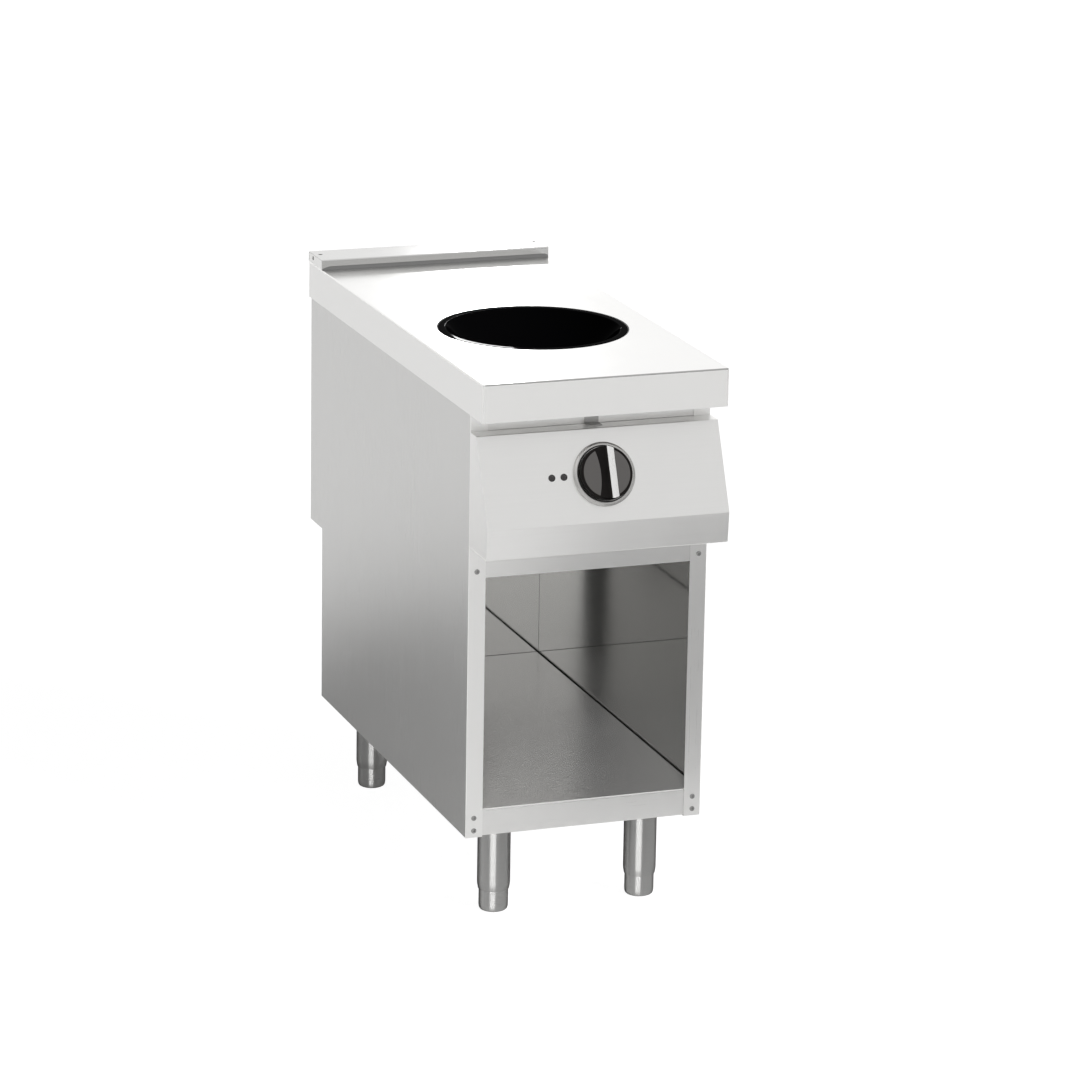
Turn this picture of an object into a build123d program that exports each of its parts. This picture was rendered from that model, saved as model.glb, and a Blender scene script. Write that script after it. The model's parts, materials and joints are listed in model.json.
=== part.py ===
"""Induction wok range: a narrow, deep cooking module on an open base cabinet.

A pressed worktop with a rear upstand holds a round black glass bowl. A folded, sloping
control panel carries one knob and two lamps. Below it is an open storage bay on four
levelling feet. Millimetres, +Z up, +Y to the back. The pieces are laid out from the
worktop's front face and the floor, and at the end all of them move together, so that
the origin lies on the floor under the middle of the whole module.
"""

import os
from math import acos, cos, pi, sin, sqrt

from build123d import *

# ---- worktop ----
width = 400.0  # across the worktop
depth = 900.0  # worktop, front to back
worktop_height = 893.0  # cooking surface above the floor
worktop_gauge = 2.0  # sheet of the worktop and the upstand
apron_height = 60.5  # folded edge that hangs down all round
apron_corner = 4.0  # radius of the upright corners
apron_edge = 2.5  # radius along the top edge
hem_width = 14.0  # bottom of the apron, folded inwards

# ---- rear upstand ----
upstand_depth = 75.0
upstand_height = 17.0
upstand_bend = 2.5
upstand_hole_radius = 3.5
upstand_step = 0.5  # the worktop is pressed down by this much under it
upstand_clearance = 0.3  # from that step to its front wall
upstand_hole_side = 11.0  # from the worktop's sides to the holes in its top
upstand_hole_inset = 31.0  # from the back edge to the holes

# ---- wok bowl, its seat and its coil ----
bowl_radius = 150.5
bowl_front = 338.9  # bowl centre behind the worktop's front
bowl_depth = 70.0
bowl_wall = 5.0
bowl_rim = 12.0  # flat rim round the dish
dish_sides = 48  # flat sides round the dish
dish_steps = 5  # flat steps up its arc
seal_width = 2.0  # bead between the glass and the worktop
seat_gap = 0.8  # from the dish's underside to the edge of the shelf that it sits in
under_sides = 24  # flat sides of the hidden pieces under the glass
under_steps = 3
coil_gap = 1.0  # air between the glass and the windings
coil_thickness = 5.0
coil_inner = 28.0
coil_outer = 112.0
coil_rings = 3  # flat windings, each higher than the one inside it
coil_ring_gap = 4.0
former_thickness = 4.0
former_hub = 40.0
arms = 8
arm_width = 22.0
ferrite_width = 12.0
ferrite_thickness = 5.0
bridge_width = 30.0
bridge_side = 160.0  # from the bowl's middle to the bridge's legs
probe_size = 16.0
probe_gap = 0.3

# ---- cabinet ----
gauge = 1.5  # sheet of the cabinet and the control panel
bend = 2.0  # outer radius of a fold
side_inset = 3.6  # cabinet side inside the worktop's side
front_setback = 65.7  # front of the uprights behind the worktop's front
back_inset = 3.5  # upper body's back inside the worktop's back
lower_setback = 69.5  # lower body's back inside the worktop's back
cabinet_bottom = 149.0
step_height = 445.0  # underside of the deeper upper body
flange = 28.0  # folded edge of a side panel, its front one is the upright
bay_top = 569.0
bottom_rail_top = 193.3
rail_return = 20.0
top_rail_height = 70.0
neck_rail_height = 38.0
floor_skirt = 20.0
beam_width = 90.0

# ---- control panel ----
panel_overlap = 0.8  # panel wider than the cabinet on each side
neck_gap = 28.6  # from the apron down to the panel's top edge
panel_top_setback = 36.5  # top edge behind the worktop's front
crease_reach = 21.6  # crease in front of the worktop's front
crease_drop = 134.0  # from the panel's top edge down to its crease
lip_reach = 17.8  # bottom edge in front of the worktop's front
lip_drop = 48.9  # from the crease down to the bottom edge
catch_width = 23.0
catch_height = 17.0
catch_depth = 17.0

# ---- knob and lamps, measured square to the sloping panel ----
knob_from_top = 72.2  # knob centre down the slope from the panel's top edge
knob_radius = 41.6
knob_gap = 0.5  # between the bezel and the knob
knob_face = 16.0  # face above the panel
grip_half_width = 16.0
grip_height = 8.5
grip_crest = 3.0
grip_end_gap = 1.5
inlay_thickness = 1.2
inlay_margin = 2.0
bezel_radius = 50.0
bezel_height = 6.0
spindle_radius = 3.0
spindle_seat = 7.0  # length held inside the knob
spindle_tail = 24.0  # length inside the regulator
turning_gap = 0.05
bush_radius = 6.0
bush_gap = 0.2
regulator_width = 46.0
regulator_depth = 34.0
lamp_radius = 5.5
lamp_rise = 2.0
lamp_offset = 64.8  # nearer lamp, left of the knob centre
lamp_pitch = 19.6

# ---- power unit in the upper body ----
tray_width = 300.0
tray_gap = 66.5  # from the tray's back to the upper body's back
tray_length = 420.0
tray_lip = 25.0
unit_offset = 75.0  # board left of the middle, heat sink and fan right of it
standoff = 6.0
board_thickness = 2.0
board_width = 125.0
board_length = 300.0
board_edge = 6.0  # from the board's edge to the middle of a spacer
sink_width = 110.0
sink_length = 240.0
sink_gap = 10.0  # to the fan
sink_height = 60.0
sink_base = 8.0
fin_count = 9
fin_thickness = 2.5
capacitor_count = 3
capacitor_size = (30.0, 45.0, 36.0)
capacitor_gap = 40.0
fan_size = 120.0
fan_thickness = 38.0
fan_bore = 57.0
bore_sides = 24
fan_hub = 19.0
fan_mount = 36.0  # square plate that holds the fan's pin
fan_plate = 5.0  # thickness of the fan's back plate and struts
fan_strut = 6.0
fan_end_gap = 1.0
fan_pin = 4.0
fan_pin_length = 22.0
blade_count = 7
blade_root = 1.5  # length sunk in the hub
blade_tip_gap = 3.0
blade_chord = 26.0
blade_pitch = 38.0
blade_thickness = 1.6
bulkhead_height = 140.0
filter_width = 240.0
filter_length = 160.0
filter_front = 40.0  # behind the cabinet's front
filter_thickness = 8.0
filter_frame = 14.0
filter_slots = 9
filter_slot_share = 0.5  # slot width over slot pitch
filter_lap = 6.0  # frame over the edge of the opening

# ---- back of the upper body ----
cover_gauge = 1.0
cover_margin = 6.0  # cover inside the side panels' outer faces
louvre_rows = 6
louvre_length = 120.0
louvre_height = 8.0
louvre_pitch = 22.0
louvre_drop = 110.0  # first row below the worktop
louvre_span = 160.0  # between the two columns' centres
louvre_depth = 6.0
louvre_skin = 1.5  # flap, measured upright
gland_size = 32.0  # across the flats
gland_bore = 9.0
gland_body = 20.0  # length below the ledge
gland_offset = 110.0  # left of the middle
stud_radius = 4.0
stud_length = 18.0
stud_collar_size = 16.0  # across the flats
stud_collar = 5.0
stud_offset = 110.0  # right of the middle
terminal_size = (80.0, 30.0, 34.0)
wire_hole_size = (80.0, 36.0)

# ---- feet ----
foot_side = 72.9  # from the cabinet's side to the middle of a foot
foot_front = 137.9  # front feet behind the worktop's front
foot_rear = 57.2  # rear feet before the lower body's back
sleeve_radius = 26.25
sleeve_wall = 2.3
sleeve_taper = 8.0
sleeve_rim = 0.7  # wall left at the tapered end
insert_gap = 0.5
insert_showing = 36.0
foot_travel = 25.0  # up or down from where the feet stand
foot_overlap = 35.0  # least length that a foot keeps inside its sleeve

# ---- places that follow from the sizes above ----
apron_bottom = worktop_height - apron_height
cabinet_side = width / 2 - side_inset
cabinet_back = depth - back_inset
lower_back = depth - lower_setback
inner_side = cabinet_side - gauge
rail_front = front_setback + gauge
back_wall = lower_back - gauge
bay_floor = bottom_rail_top + gauge
housing_floor_top = bay_top + 2 * gauge
foot_back = lower_back - foot_rear
upstand_front = depth - upstand_depth
hole_radius = bowl_radius + seal_width
dish_radius = bowl_radius - bowl_rim
dish_sphere = (dish_radius**2 + bowl_depth**2) / (2 * bowl_depth)
dish_middle = dish_sphere - bowl_depth  # height of the arc's centre above the worktop
glass_sphere = dish_sphere + bowl_wall
under_angle = acos(dish_middle / glass_sphere) / (2 * under_steps)
under_radius = sqrt(glass_sphere**2 - (dish_middle + bowl_wall) ** 2) / cos(pi / under_sides)
under_sphere = glass_sphere / cos(under_angle) / cos(pi / under_sides)  # through its corners
coil_pitch = (coil_outer - coil_inner) / coil_rings
panel_top = apron_bottom - neck_gap
crease_height = panel_top - crease_drop
lip_height = crease_height - lip_drop
slope_start = Vector(0, panel_top_setback, panel_top)
slope = (Vector(0, -crease_reach, crease_height) - slope_start).normalized()
panel_out = Vector(0, slope.Z, -slope.Y)
knob_under = bezel_height + knob_gap
knob_plane = Plane(slope_start + slope * knob_from_top, x_dir=(1, 0, 0), z_dir=panel_out)
bowl_place = Pos(0, bowl_front, worktop_height)
tray_back = cabinet_back - tray_gap
tray_floor = housing_floor_top + gauge
board_top = tray_floor + standoff + board_thickness
fan_back = tray_back - gauge
fan_front = fan_back - fan_thickness
fan_height = tray_floor + fan_size / 2
# The fan's pieces are laid out along +Z from its back plate and then point forwards.
fan_place = Pos(unit_offset, fan_back, fan_height) * Rot(90, 0, 0)
ledge_bottom = step_height + gauge
ledge_middle = (lower_back + cabinet_back) / 2
cover_bottom = step_height + gauge
foot_across = cabinet_side - foot_side
foot_places = {
    "front_left": (-foot_across, foot_front),
    "front_right": (foot_across, foot_front),
    "rear_left": (-foot_across, foot_back),
    "rear_right": (foot_across, foot_back),
}
sleeve_top = cabinet_bottom + gauge
sleeve_bore = sleeve_radius - sleeve_wall
insert_radius = sleeve_bore - insert_gap


# ---- shapes that several pieces use ----
def block(x_span, y_span, z_span):
    """A box between three pairs of limits."""
    spans = (x_span, y_span, z_span)
    middle = [(low + high) / 2 for low, high in spans]
    return Pos(*middle) * Box(*[high - low for low, high in spans])


def about(middle, size):
    """The limits of a length that lies evenly about its middle."""
    return (middle - size / 2, middle + size / 2)


def upright_rod(radius, z_span, x=0.0, y=0.0):
    low, high = z_span
    return Pos(x, y, low) * extrude(Circle(radius), amount=high - low)


def turned(points):
    """A solid turned about Z from (radius, height) points."""
    return revolve(Plane.XZ * make_face(Polyline(*points, close=True)), Axis.Z)


def across(face, x_span):
    """A (y, z) section run from left to right."""
    low, high = x_span
    return Pos(low, 0, 0) * extrude(Plane.YZ * face, amount=high - low)


def backwards(face, y_span):
    """An (x, z) section run from front to back."""
    low, high = y_span
    return Pos(0, low, 0) * extrude(Plane.XZ * face, amount=low - high)


def folded(points, thickness, radius, side=Side.LEFT):
    """The section of a sheet whose outer face follows points."""
    outline = offset(FilletPolyline(*points, radius=radius), amount=thickness, side=side)
    return make_face(outline.edges())


def mirrored(piece):
    return mirror(piece, about=Plane.YZ)


def left_and_right(piece):
    return Part(children=[piece, mirrored(piece)])


def group(pieces):
    """Separate solids under one name."""
    return Compound(children=[solid for piece in pieces for solid in piece.solids()])


# ---- worktop ----
def worktop():
    outer = extrude(RectangleRounded(width, depth, apron_corner), amount=apron_height)
    top = outer.faces().sort_by(Axis.Z)[-1]
    outer = fillet(top.edges().filter_by(lambda edge: edge.center().Y < depth / 2 - 1), apron_edge)
    inside = (width - 2 * worktop_gauge, depth - 2 * worktop_gauge)
    corner = apron_corner - worktop_gauge
    hollow = extrude(RectangleRounded(*inside, corner), amount=apron_height - worktop_gauge)
    opening = Rectangle(*[size - 2 * hem_width for size in inside])
    hem = extrude(RectangleRounded(*inside, corner) - opening, amount=worktop_gauge)
    shell = Pos(0, depth / 2, apron_bottom) * (outer - hollow + hem)
    shelf = -bowl_wall - worktop_gauge
    recess = upright_rod(hole_radius + worktop_gauge, (shelf, -worktop_gauge))
    seat = upright_rod(hole_radius, (-bowl_wall, 0))
    mouth = upright_rod(under_radius + seat_gap, (shelf, 0))
    step = block(
        about(0, 2 * width),
        (upstand_front - upstand_clearance, 2 * depth),
        (worktop_height - upstand_step, worktop_height),
    )
    return shell - step + bowl_place * recess - bowl_place * seat - bowl_place * mouth


def rear_upstand():
    low = worktop_height - upstand_step
    top = worktop_height + upstand_height
    path = [(upstand_front, low), (upstand_front, top), (depth, top), (depth, low)]
    cap = across(folded(path, worktop_gauge, upstand_bend, Side.RIGHT), about(0, width))
    hole = upright_rod(
        upstand_hole_radius,
        (top - 2 * worktop_gauge, top + worktop_gauge),
        width / 2 - upstand_hole_side,
        depth - upstand_hole_inset,
    )
    return cap - left_and_right(hole)


# ---- wok bowl and the coil unit under it ----
def dish_point(sphere, angle):
    """A (radius, height) point on a sphere about the dish's centre, by its angle from below."""
    return (sphere * sin(angle), dish_middle - sphere * cos(angle))


def faceted_dish(sphere, sides, steps):
    """A dish of flat sides that touch the sphere from outside, up past the worktop."""
    turns = [2 * pi * side / sides for side in range(sides)]
    half_step = acos(dish_middle / sphere) / (2 * steps)
    rings = []
    for k in range(steps + 1):
        reach, height = dish_point(sphere / cos(half_step), half_step * (2 * k + 1))
        corner = reach / cos(pi / sides)
        rings.append([Vector(corner * cos(turn), corner * sin(turn), height) for turn in turns])
    walls = [
        [low[side - 1], low[side], high[side], high[side - 1]]
        for low, high in zip(rings, rings[1:])
        for side in range(sides)
    ]
    outlines = walls + [rings[0], rings[-1]]
    return Solid(Shell([Face(Wire.make_polygon(outline)) for outline in outlines]))


def wok_bowl():
    rim = upright_rod(bowl_radius, (-bowl_wall, 0))
    below_rim = upright_rod(bowl_radius, (-2 * bowl_depth, -bowl_wall))
    under = faceted_dish(glass_sphere, under_sides, under_steps) & below_rim
    return bowl_place * (rim + under - faceted_dish(dish_sphere, dish_sides, dish_steps))


def bowl_seal():
    return bowl_place * turned([
        (bowl_radius, 0),
        (hole_radius, 0),
        (hole_radius, -bowl_wall),
        (bowl_radius, -bowl_wall),
    ])


def coil_top(ring):
    """Height of a winding, whose inner edge comes nearest to the glass."""
    radius = coil_inner + coil_pitch * ring
    return dish_middle - sqrt((under_sphere + coil_gap) ** 2 - radius**2)


def under_polygon(radius):
    return RegularPolygon(radius, under_sides, major_radius=False)


def induction_coil():
    rings = []
    for ring in range(coil_rings):
        inner = coil_inner + coil_pitch * ring
        plan = under_polygon(inner + coil_pitch - coil_ring_gap) - under_polygon(inner)
        rings.append(Pos(0, 0, coil_top(ring)) * extrude(plan, amount=-coil_thickness))
    return group([bowl_place * ring for ring in rings])


def arm_steps():
    """The far end and the height of each step that carries a winding."""
    ends = [coil_inner + coil_pitch * (ring + 1) - coil_ring_gap / 2 for ring in range(coil_rings)]
    return [(end, coil_top(ring) - coil_thickness) for ring, end in enumerate(ends)]


def arm_bottom():
    return [(end, step - former_thickness) for end, step in arm_steps()]


def set_round(bar):
    """Copies of a bar that lies along +X, evenly set round the bowl's axis."""
    return [Rot(0, 0, 360 * (k + 0.5) / arms) * bar for k in range(arms)]


def coil_former():
    """Arms with a step under each winding."""
    top = []
    start = 0
    for end, step in arm_steps():
        top += [(start, step), (end, step)]
        start = end
    bottom = arm_bottom()
    low = bottom[0][1]
    arm = backwards(make_face(Polyline(*top, *bottom[::-1], (0, low), close=True)), about(0, arm_width))
    hub = Pos(0, 0, low) * extrude(under_polygon(former_hub), amount=former_thickness)
    return bowl_place * (hub + set_round(arm))


def ferrite_bars():
    top = arm_bottom()
    bottom = [(x, z - ferrite_thickness) for x, z in top]
    section = make_face(Polyline(*top, *bottom[::-1], close=True))
    bar = backwards(section, about(0, ferrite_width))
    return group([bowl_place * piece for piece in set_round(bar)])


def coil_bridge():
    """A strap that hangs from the worktop and carries the coil unit."""
    top = worktop_height - worktop_gauge
    low = worktop_height + arm_bottom()[0][1]
    path = [(-bridge_side, top), (-bridge_side, low), (bridge_side, low), (bridge_side, top)]
    section = folded(path, gauge, bend, Side.RIGHT)
    return backwards(section, about(bowl_front, bridge_width))


def bowl_probe():
    flats = about(0, probe_size)
    hub_top = arm_steps()[0][1]
    return bowl_place * block(flats, flats, (hub_top, -bowl_depth - bowl_wall - probe_gap))


# ---- cabinet ----
def side_outline():
    return [
        (front_setback, cabinet_bottom),
        (lower_back, cabinet_bottom),
        (lower_back, step_height),
        (cabinet_back, step_height),
        (cabinet_back, apron_bottom),
        (front_setback, apron_bottom),
    ]


def left_side_panel():
    face = make_face(Polyline(*side_outline(), close=True))
    pan = across(face, (-cabinet_side, flange - cabinet_side))
    skin = pan.faces().sort_by(Axis.X)[0]
    pan = fillet(skin.edges(), gauge)
    hollow = across(offset(face, -gauge, kind=Kind.INTERSECTION), (-inner_side, 0))
    return pan - hollow


def top_rail():
    back = rail_front + rail_return
    top = bay_top + top_rail_height
    path = [(back, top), (rail_front, top), (rail_front, bay_top), (back, bay_top)]
    return across(folded(path, gauge, bend), about(0, 2 * inner_side))


def bottom_rail():
    back = rail_front + rail_return
    path = [
        (back, bottom_rail_top),
        (rail_front, bottom_rail_top),
        (rail_front, cabinet_bottom + gauge),
        (back, cabinet_bottom + gauge),
    ]
    return across(folded(path, gauge, bend), about(0, 2 * inner_side))


def neck_rail():
    top = apron_bottom - gauge
    low = top - neck_rail_height
    path = [(rail_front + rail_return, top), (rail_front, top), (rail_front, low)]
    return across(folded(path, gauge, bend), about(0, 2 * inner_side))


def base_floor():
    skirt = bay_floor - floor_skirt
    path = [
        (-inner_side, skirt),
        (-inner_side, bay_floor),
        (inner_side, bay_floor),
        (inner_side, skirt),
    ]
    y_span = (rail_front, back_wall - gauge)
    tray = backwards(folded(path, gauge, bend, Side.RIGHT), y_span)
    rail = block(about(0, width), (0, rail_front + rail_return), (0, bottom_rail_top))
    return tray - rail


def base_back():
    y_span = (back_wall - gauge, back_wall)
    return block(about(0, 2 * inner_side), y_span, (bay_floor - floor_skirt, bay_top + gauge))


def overhang_soffit():
    """The sheet that closes the underside of the worktop's overhang."""
    y_span = (worktop_gauge + hem_width / 2, front_setback)
    return block(about(0, 2 * inner_side), y_span, (apron_bottom - gauge, apron_bottom))


def foot_beam(y):
    """A channel that carries the bay's floor and two feet."""
    low = cabinet_bottom + gauge
    high = bay_floor - gauge
    front, back = about(y, beam_width)
    path = [(front, high), (front, low), (back, low), (back, high)]
    return across(folded(path, gauge, bend), about(0, 2 * (inner_side - bend)))


def foot_sleeves():
    """Tubes under the beams, tapered at their open lower ends."""
    sleeve = turned([
        (sleeve_bore, insert_showing),
        (sleeve_bore + sleeve_rim, insert_showing),
        (sleeve_radius, insert_showing + sleeve_taper),
        (sleeve_radius, sleeve_top),
        (sleeve_bore, sleeve_top),
    ])
    return group([Pos(*place) * sleeve for place in foot_places.values()])


def foot_insert(place):
    return upright_rod(insert_radius, (0, insert_showing + foot_travel + foot_overlap), *place)


def housing_floor():
    low = bay_top + gauge
    y_span = (rail_front + bend, cabinet_back - gauge)
    sheet = block(about(0, 2 * inner_side), y_span, (low, housing_floor_top))
    wires = block(
        about(0, wire_hole_size[0]),
        about(ledge_middle, wire_hole_size[1]),
        (low - 1, housing_floor_top + 1),
    )
    return sheet - intake_opening() - wires


# ---- back of the upper body ----
def rear_ledge():
    y_span = (back_wall, cabinet_back - gauge)
    z_span = (ledge_bottom, ledge_bottom + gauge)
    sheet = block(about(0, 2 * inner_side), y_span, z_span)
    return sheet - upright_rod(gland_bore, z_span, -gland_offset, ledge_middle)


def hexagon(size):
    return RegularPolygon(size / 2, 6, major_radius=False)


def cable_gland():
    body = extrude(hexagon(gland_size) - Circle(gland_bore), amount=-gland_body)
    return Pos(-gland_offset, ledge_middle, ledge_bottom) * body


def bonding_stud():
    pin = upright_rod(stud_radius, (-stud_collar - stud_length, 0))
    collar = extrude(hexagon(stud_collar_size), amount=-stud_collar)
    return Pos(stud_offset, ledge_middle, ledge_bottom) * (pin + collar)


def terminal_block():
    wide, long, tall = terminal_size
    low = ledge_bottom + gauge
    return block(about(0, wide), about(ledge_middle, long), (low, low + tall))


def louvre(x, z):
    """A slot through the cover and the flap pressed in behind it."""
    low, top = about(z, louvre_height)
    reach = cabinet_back - louvre_depth
    section = make_face(Polyline(
        (cabinet_back, top + louvre_skin),
        (cabinet_back, top),
        (reach, low),
        (reach, low + louvre_skin),
        close=True,
    ))
    slot = block(about(x, louvre_length), about(cabinet_back, 4 * cover_gauge), (low, top))
    return slot, across(section, about(x, louvre_length))


def rear_cover():
    side = cabinet_side - cover_margin
    y_span = (cabinet_back, cabinet_back + cover_gauge)
    cover = block(about(0, 2 * side), y_span, (cover_bottom, apron_bottom))
    heights = [worktop_height - louvre_drop - louvre_pitch * k for k in range(louvre_rows)]
    louvres = [louvre(x, z) for x in about(0, louvre_span) for z in heights]
    return cover - [slot for slot, flap in louvres] + [flap for slot, flap in louvres]


# ---- control panel ----
def panel_path():
    return [
        (front_setback, panel_top),
        (panel_top_setback, panel_top),
        (-crease_reach, crease_height),
        (-lip_reach, lip_height),
        (front_setback, lip_height),
    ]


def lamp_places():
    return [Pos(-lamp_offset - lamp_pitch * k, 0, 0) for k in range(2)]


def control_panel():
    sheet = across(folded(panel_path(), gauge, bend), about(0, 2 * (cabinet_side + panel_overlap)))
    return sheet - knob_plane * Cylinder(bush_radius + bush_gap, 6 * gauge)


def left_panel_cheek():
    front = FilletPolyline(*panel_path(), radius=bend)
    section = make_face(front + Line(front @ 1, front @ 0))
    return across(section, (-cabinet_side, -inner_side)) - control_panel()


def panel_catch():
    back = rail_front
    path = [(back - catch_depth, panel_top), (back, panel_top), (back, panel_top + catch_height)]
    return across(folded(path, gauge, bend), about(0, catch_width))


# ---- knob, bezel and lamps, each laid out flat and then set on the slope ----
def knob_bezel():
    plate = upright_rod(bezel_radius, (0, bezel_height))
    return knob_plane * (plate - upright_rod(spindle_radius + bush_gap, (0, bezel_height)))


def grip_section():
    """The ridge across the knob's face, as (x, height) points."""
    crest = knob_face + grip_height
    return [
        (-grip_half_width, knob_face),
        (-grip_crest / 2, crest),
        (grip_crest / 2, crest),
        (grip_half_width, knob_face),
    ]


def inlay_blank():
    """The bright strip on the ridge's right-hand flank."""
    top, foot = [Vector(*point) for point in grip_section()[2:]]
    down = (foot - top).normalized()
    inwards = Vector(down.Y, -down.X)
    start, finish = top, foot - down * inlay_margin
    corners = [start, finish, finish + inwards * inlay_thickness, start + inwards * inlay_thickness]
    section = make_face(Polyline(*[(corner.X, corner.Y) for corner in corners], close=True))
    return backwards(section, about(0, 2 * knob_radius)) & grip_limits()


def grip_limits():
    return upright_rod(knob_radius - grip_end_gap, (0, 2 * (knob_face + grip_height)))


def knob_body():
    disc = upright_rod(knob_radius, (knob_under, knob_face))
    section = make_face(Polyline(*grip_section(), close=True))
    ridge = backwards(section, about(0, 2 * knob_radius)) & grip_limits()
    seat = upright_rod(spindle_radius, (0, knob_under + spindle_seat))
    return knob_plane * (disc + ridge - inlay_blank() - seat)


def knob_inlay():
    return knob_plane * inlay_blank()


def knob_spindle():
    ends = (-gauge - spindle_tail, knob_under + spindle_seat)
    return knob_plane * upright_rod(spindle_radius, ends)


def power_regulator():
    behind = -gauge - regulator_depth
    case = block(about(0, regulator_width), about(0, regulator_width), (behind, -gauge))
    bush = upright_rod(bush_radius, (-gauge, 0))
    bore = upright_rod(spindle_radius + turning_gap, (-gauge - spindle_tail - 1, 1))
    return knob_plane * (case + bush - bore)


def lamp(place):
    return knob_plane * place * upright_rod(lamp_radius, (0, lamp_rise))


# ---- power unit ----
def intake_opening():
    front = front_setback + filter_front
    y_span = (front, front + filter_length)
    return block(about(0, filter_width), y_span, (bay_top, housing_floor_top + gauge))


def intake_filter():
    front = front_setback + filter_front
    top = bay_top + gauge
    frame = block(
        about(0, filter_width + 2 * filter_lap),
        (front - filter_lap, front + filter_length + filter_lap),
        (top - filter_thickness, top),
    )
    clear = filter_length - 2 * filter_frame
    pitch = clear / filter_slots
    slot = block(
        about(0, filter_width - 2 * filter_frame),
        about(0, pitch * filter_slot_share),
        (0, housing_floor_top),
    )
    first = front + filter_frame + pitch / 2
    return frame - [Pos(0, first + pitch * k, 0) * slot for k in range(filter_slots)]


def power_tray():
    lip_top = housing_floor_top + tray_lip
    path = [
        (-tray_width / 2, lip_top),
        (-tray_width / 2, housing_floor_top),
        (tray_width / 2, housing_floor_top),
        (tray_width / 2, lip_top),
    ]
    return backwards(folded(path, gauge, bend), (tray_back - tray_length, tray_back))


def power_board():
    y = tray_back - tray_length / 2
    x_span = about(-unit_offset, board_width)
    board = block(x_span, about(y, board_length), (board_top - board_thickness, board_top))
    spacer = block(about(0, standoff), about(0, standoff), (tray_floor, board_top))
    return board + [
        Pos(x, y_spacer, 0) * spacer
        for x in about(-unit_offset, board_width - 2 * board_edge)
        for y_spacer in about(y, board_length - 2 * board_edge)
    ]


def filter_capacitors():
    wide, long, tall = capacitor_size
    can = block(about(-unit_offset, wide), about(0, long), (board_top, board_top + tall))
    pitch = long + capacitor_gap
    first = tray_back - tray_length / 2 - pitch * (capacitor_count - 1) / 2
    return group([Pos(0, first + pitch * k, 0) * can for k in range(capacitor_count)])


def heat_sink():
    edge = unit_offset - sink_width / 2
    back = fan_front - sink_gap
    y_span = (back - sink_length, back)
    pitch = (sink_width - fin_thickness) / (fin_count - 1)
    base = block(about(unit_offset, sink_width), y_span, (tray_floor, tray_floor + sink_base))
    fin = block((edge, edge + fin_thickness), y_span, (tray_floor, tray_floor + sink_height))
    return base + [Pos(pitch * k, 0, 0) * fin for k in range(fin_count)]


def fan_bulkhead():
    x_span = about(0, tray_width - 2 * bend)
    sheet = block(x_span, (fan_back, tray_back), (tray_floor, tray_floor + bulkhead_height))
    return sheet - fan_place * Box(2 * fan_bore, 2 * fan_bore, 6 * gauge)


def fan_housing():
    opening = RegularPolygon(fan_bore, bore_sides, major_radius=False)
    frame = extrude(Rectangle(fan_size, fan_size) - opening, amount=fan_thickness)
    strut = block(about(0, fan_size), about(0, fan_strut), (0, fan_plate))
    mount = block(about(0, fan_mount), about(0, fan_mount), (0, fan_plate))
    pin = upright_rod(fan_pin, (0, fan_plate + fan_pin_length))
    return fan_place * (frame + strut + mount + pin)


def fan_rotor():
    low = fan_plate + fan_end_gap
    high = fan_thickness - fan_end_gap
    hub = Pos(0, 0, low) * extrude(RegularPolygon(fan_hub, 2 * blade_count), amount=high - low)
    root = fan_hub - blade_root
    tip = fan_bore - blade_tip_gap
    blade = block((root, tip), about(0, blade_chord), about(0, blade_thickness))
    blade = Pos(0, 0, (low + high) / 2) * Rot(blade_pitch, 0, 0) * blade
    blades = [Rot(0, 0, 360 * k / blade_count) * blade for k in range(blade_count)]
    bore = upright_rod(fan_pin + turning_gap, (0, fan_plate + fan_pin_length + fan_end_gap))
    return fan_place * (hub + blades - bore)


# ---- the list of pieces ----
left_side = left_side_panel()
left_cheek = left_panel_cheek()
near_lamp, far_lamp = [lamp(place) for place in lamp_places()]
pieces = {
    "worktop": worktop(),
    "rear_upstand": rear_upstand(),
    "wok_bowl": wok_bowl(),
    "bowl_seal": bowl_seal(),
    "induction_coil": induction_coil(),
    "coil_former": coil_former(),
    "ferrite_bars": ferrite_bars(),
    "coil_bridge": coil_bridge(),
    "bowl_probe": bowl_probe(),
    "left_side_panel": left_side,
    "right_side_panel": mirrored(left_side),
    "top_rail": top_rail(),
    "bottom_rail": bottom_rail(),
    "neck_rail": neck_rail(),
    "overhang_soffit": overhang_soffit(),
    "base_floor": base_floor(),
    "base_back": base_back(),
    "front_foot_beam": foot_beam(foot_front),
    "rear_foot_beam": foot_beam(foot_back),
    "foot_sleeves": foot_sleeves(),
    "housing_floor": housing_floor(),
    "intake_filter": intake_filter(),
    "rear_ledge": rear_ledge(),
    "rear_cover": rear_cover(),
    "cable_gland": cable_gland(),
    "bonding_stud": bonding_stud(),
    "terminal_block": terminal_block(),
    "control_panel": control_panel(),
    "left_panel_cheek": left_cheek,
    "right_panel_cheek": mirrored(left_cheek),
    "panel_catch": panel_catch(),
    "knob_bezel": knob_bezel(),
    "knob_body": knob_body(),
    "knob_inlay": knob_inlay(),
    "knob_spindle": knob_spindle(),
    "power_regulator": power_regulator(),
    "power_lamp": far_lamp,
    "heat_lamp": near_lamp,
    "power_tray": power_tray(),
    "power_board": power_board(),
    "filter_capacitors": filter_capacitors(),
    "heat_sink": heat_sink(),
    "fan_bulkhead": fan_bulkhead(),
    "fan_housing": fan_housing(),
    "fan_rotor": fan_rotor(),
}
for corner, place in foot_places.items():
    pieces[f"foot_insert_{corner}"] = foot_insert(place)

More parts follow.
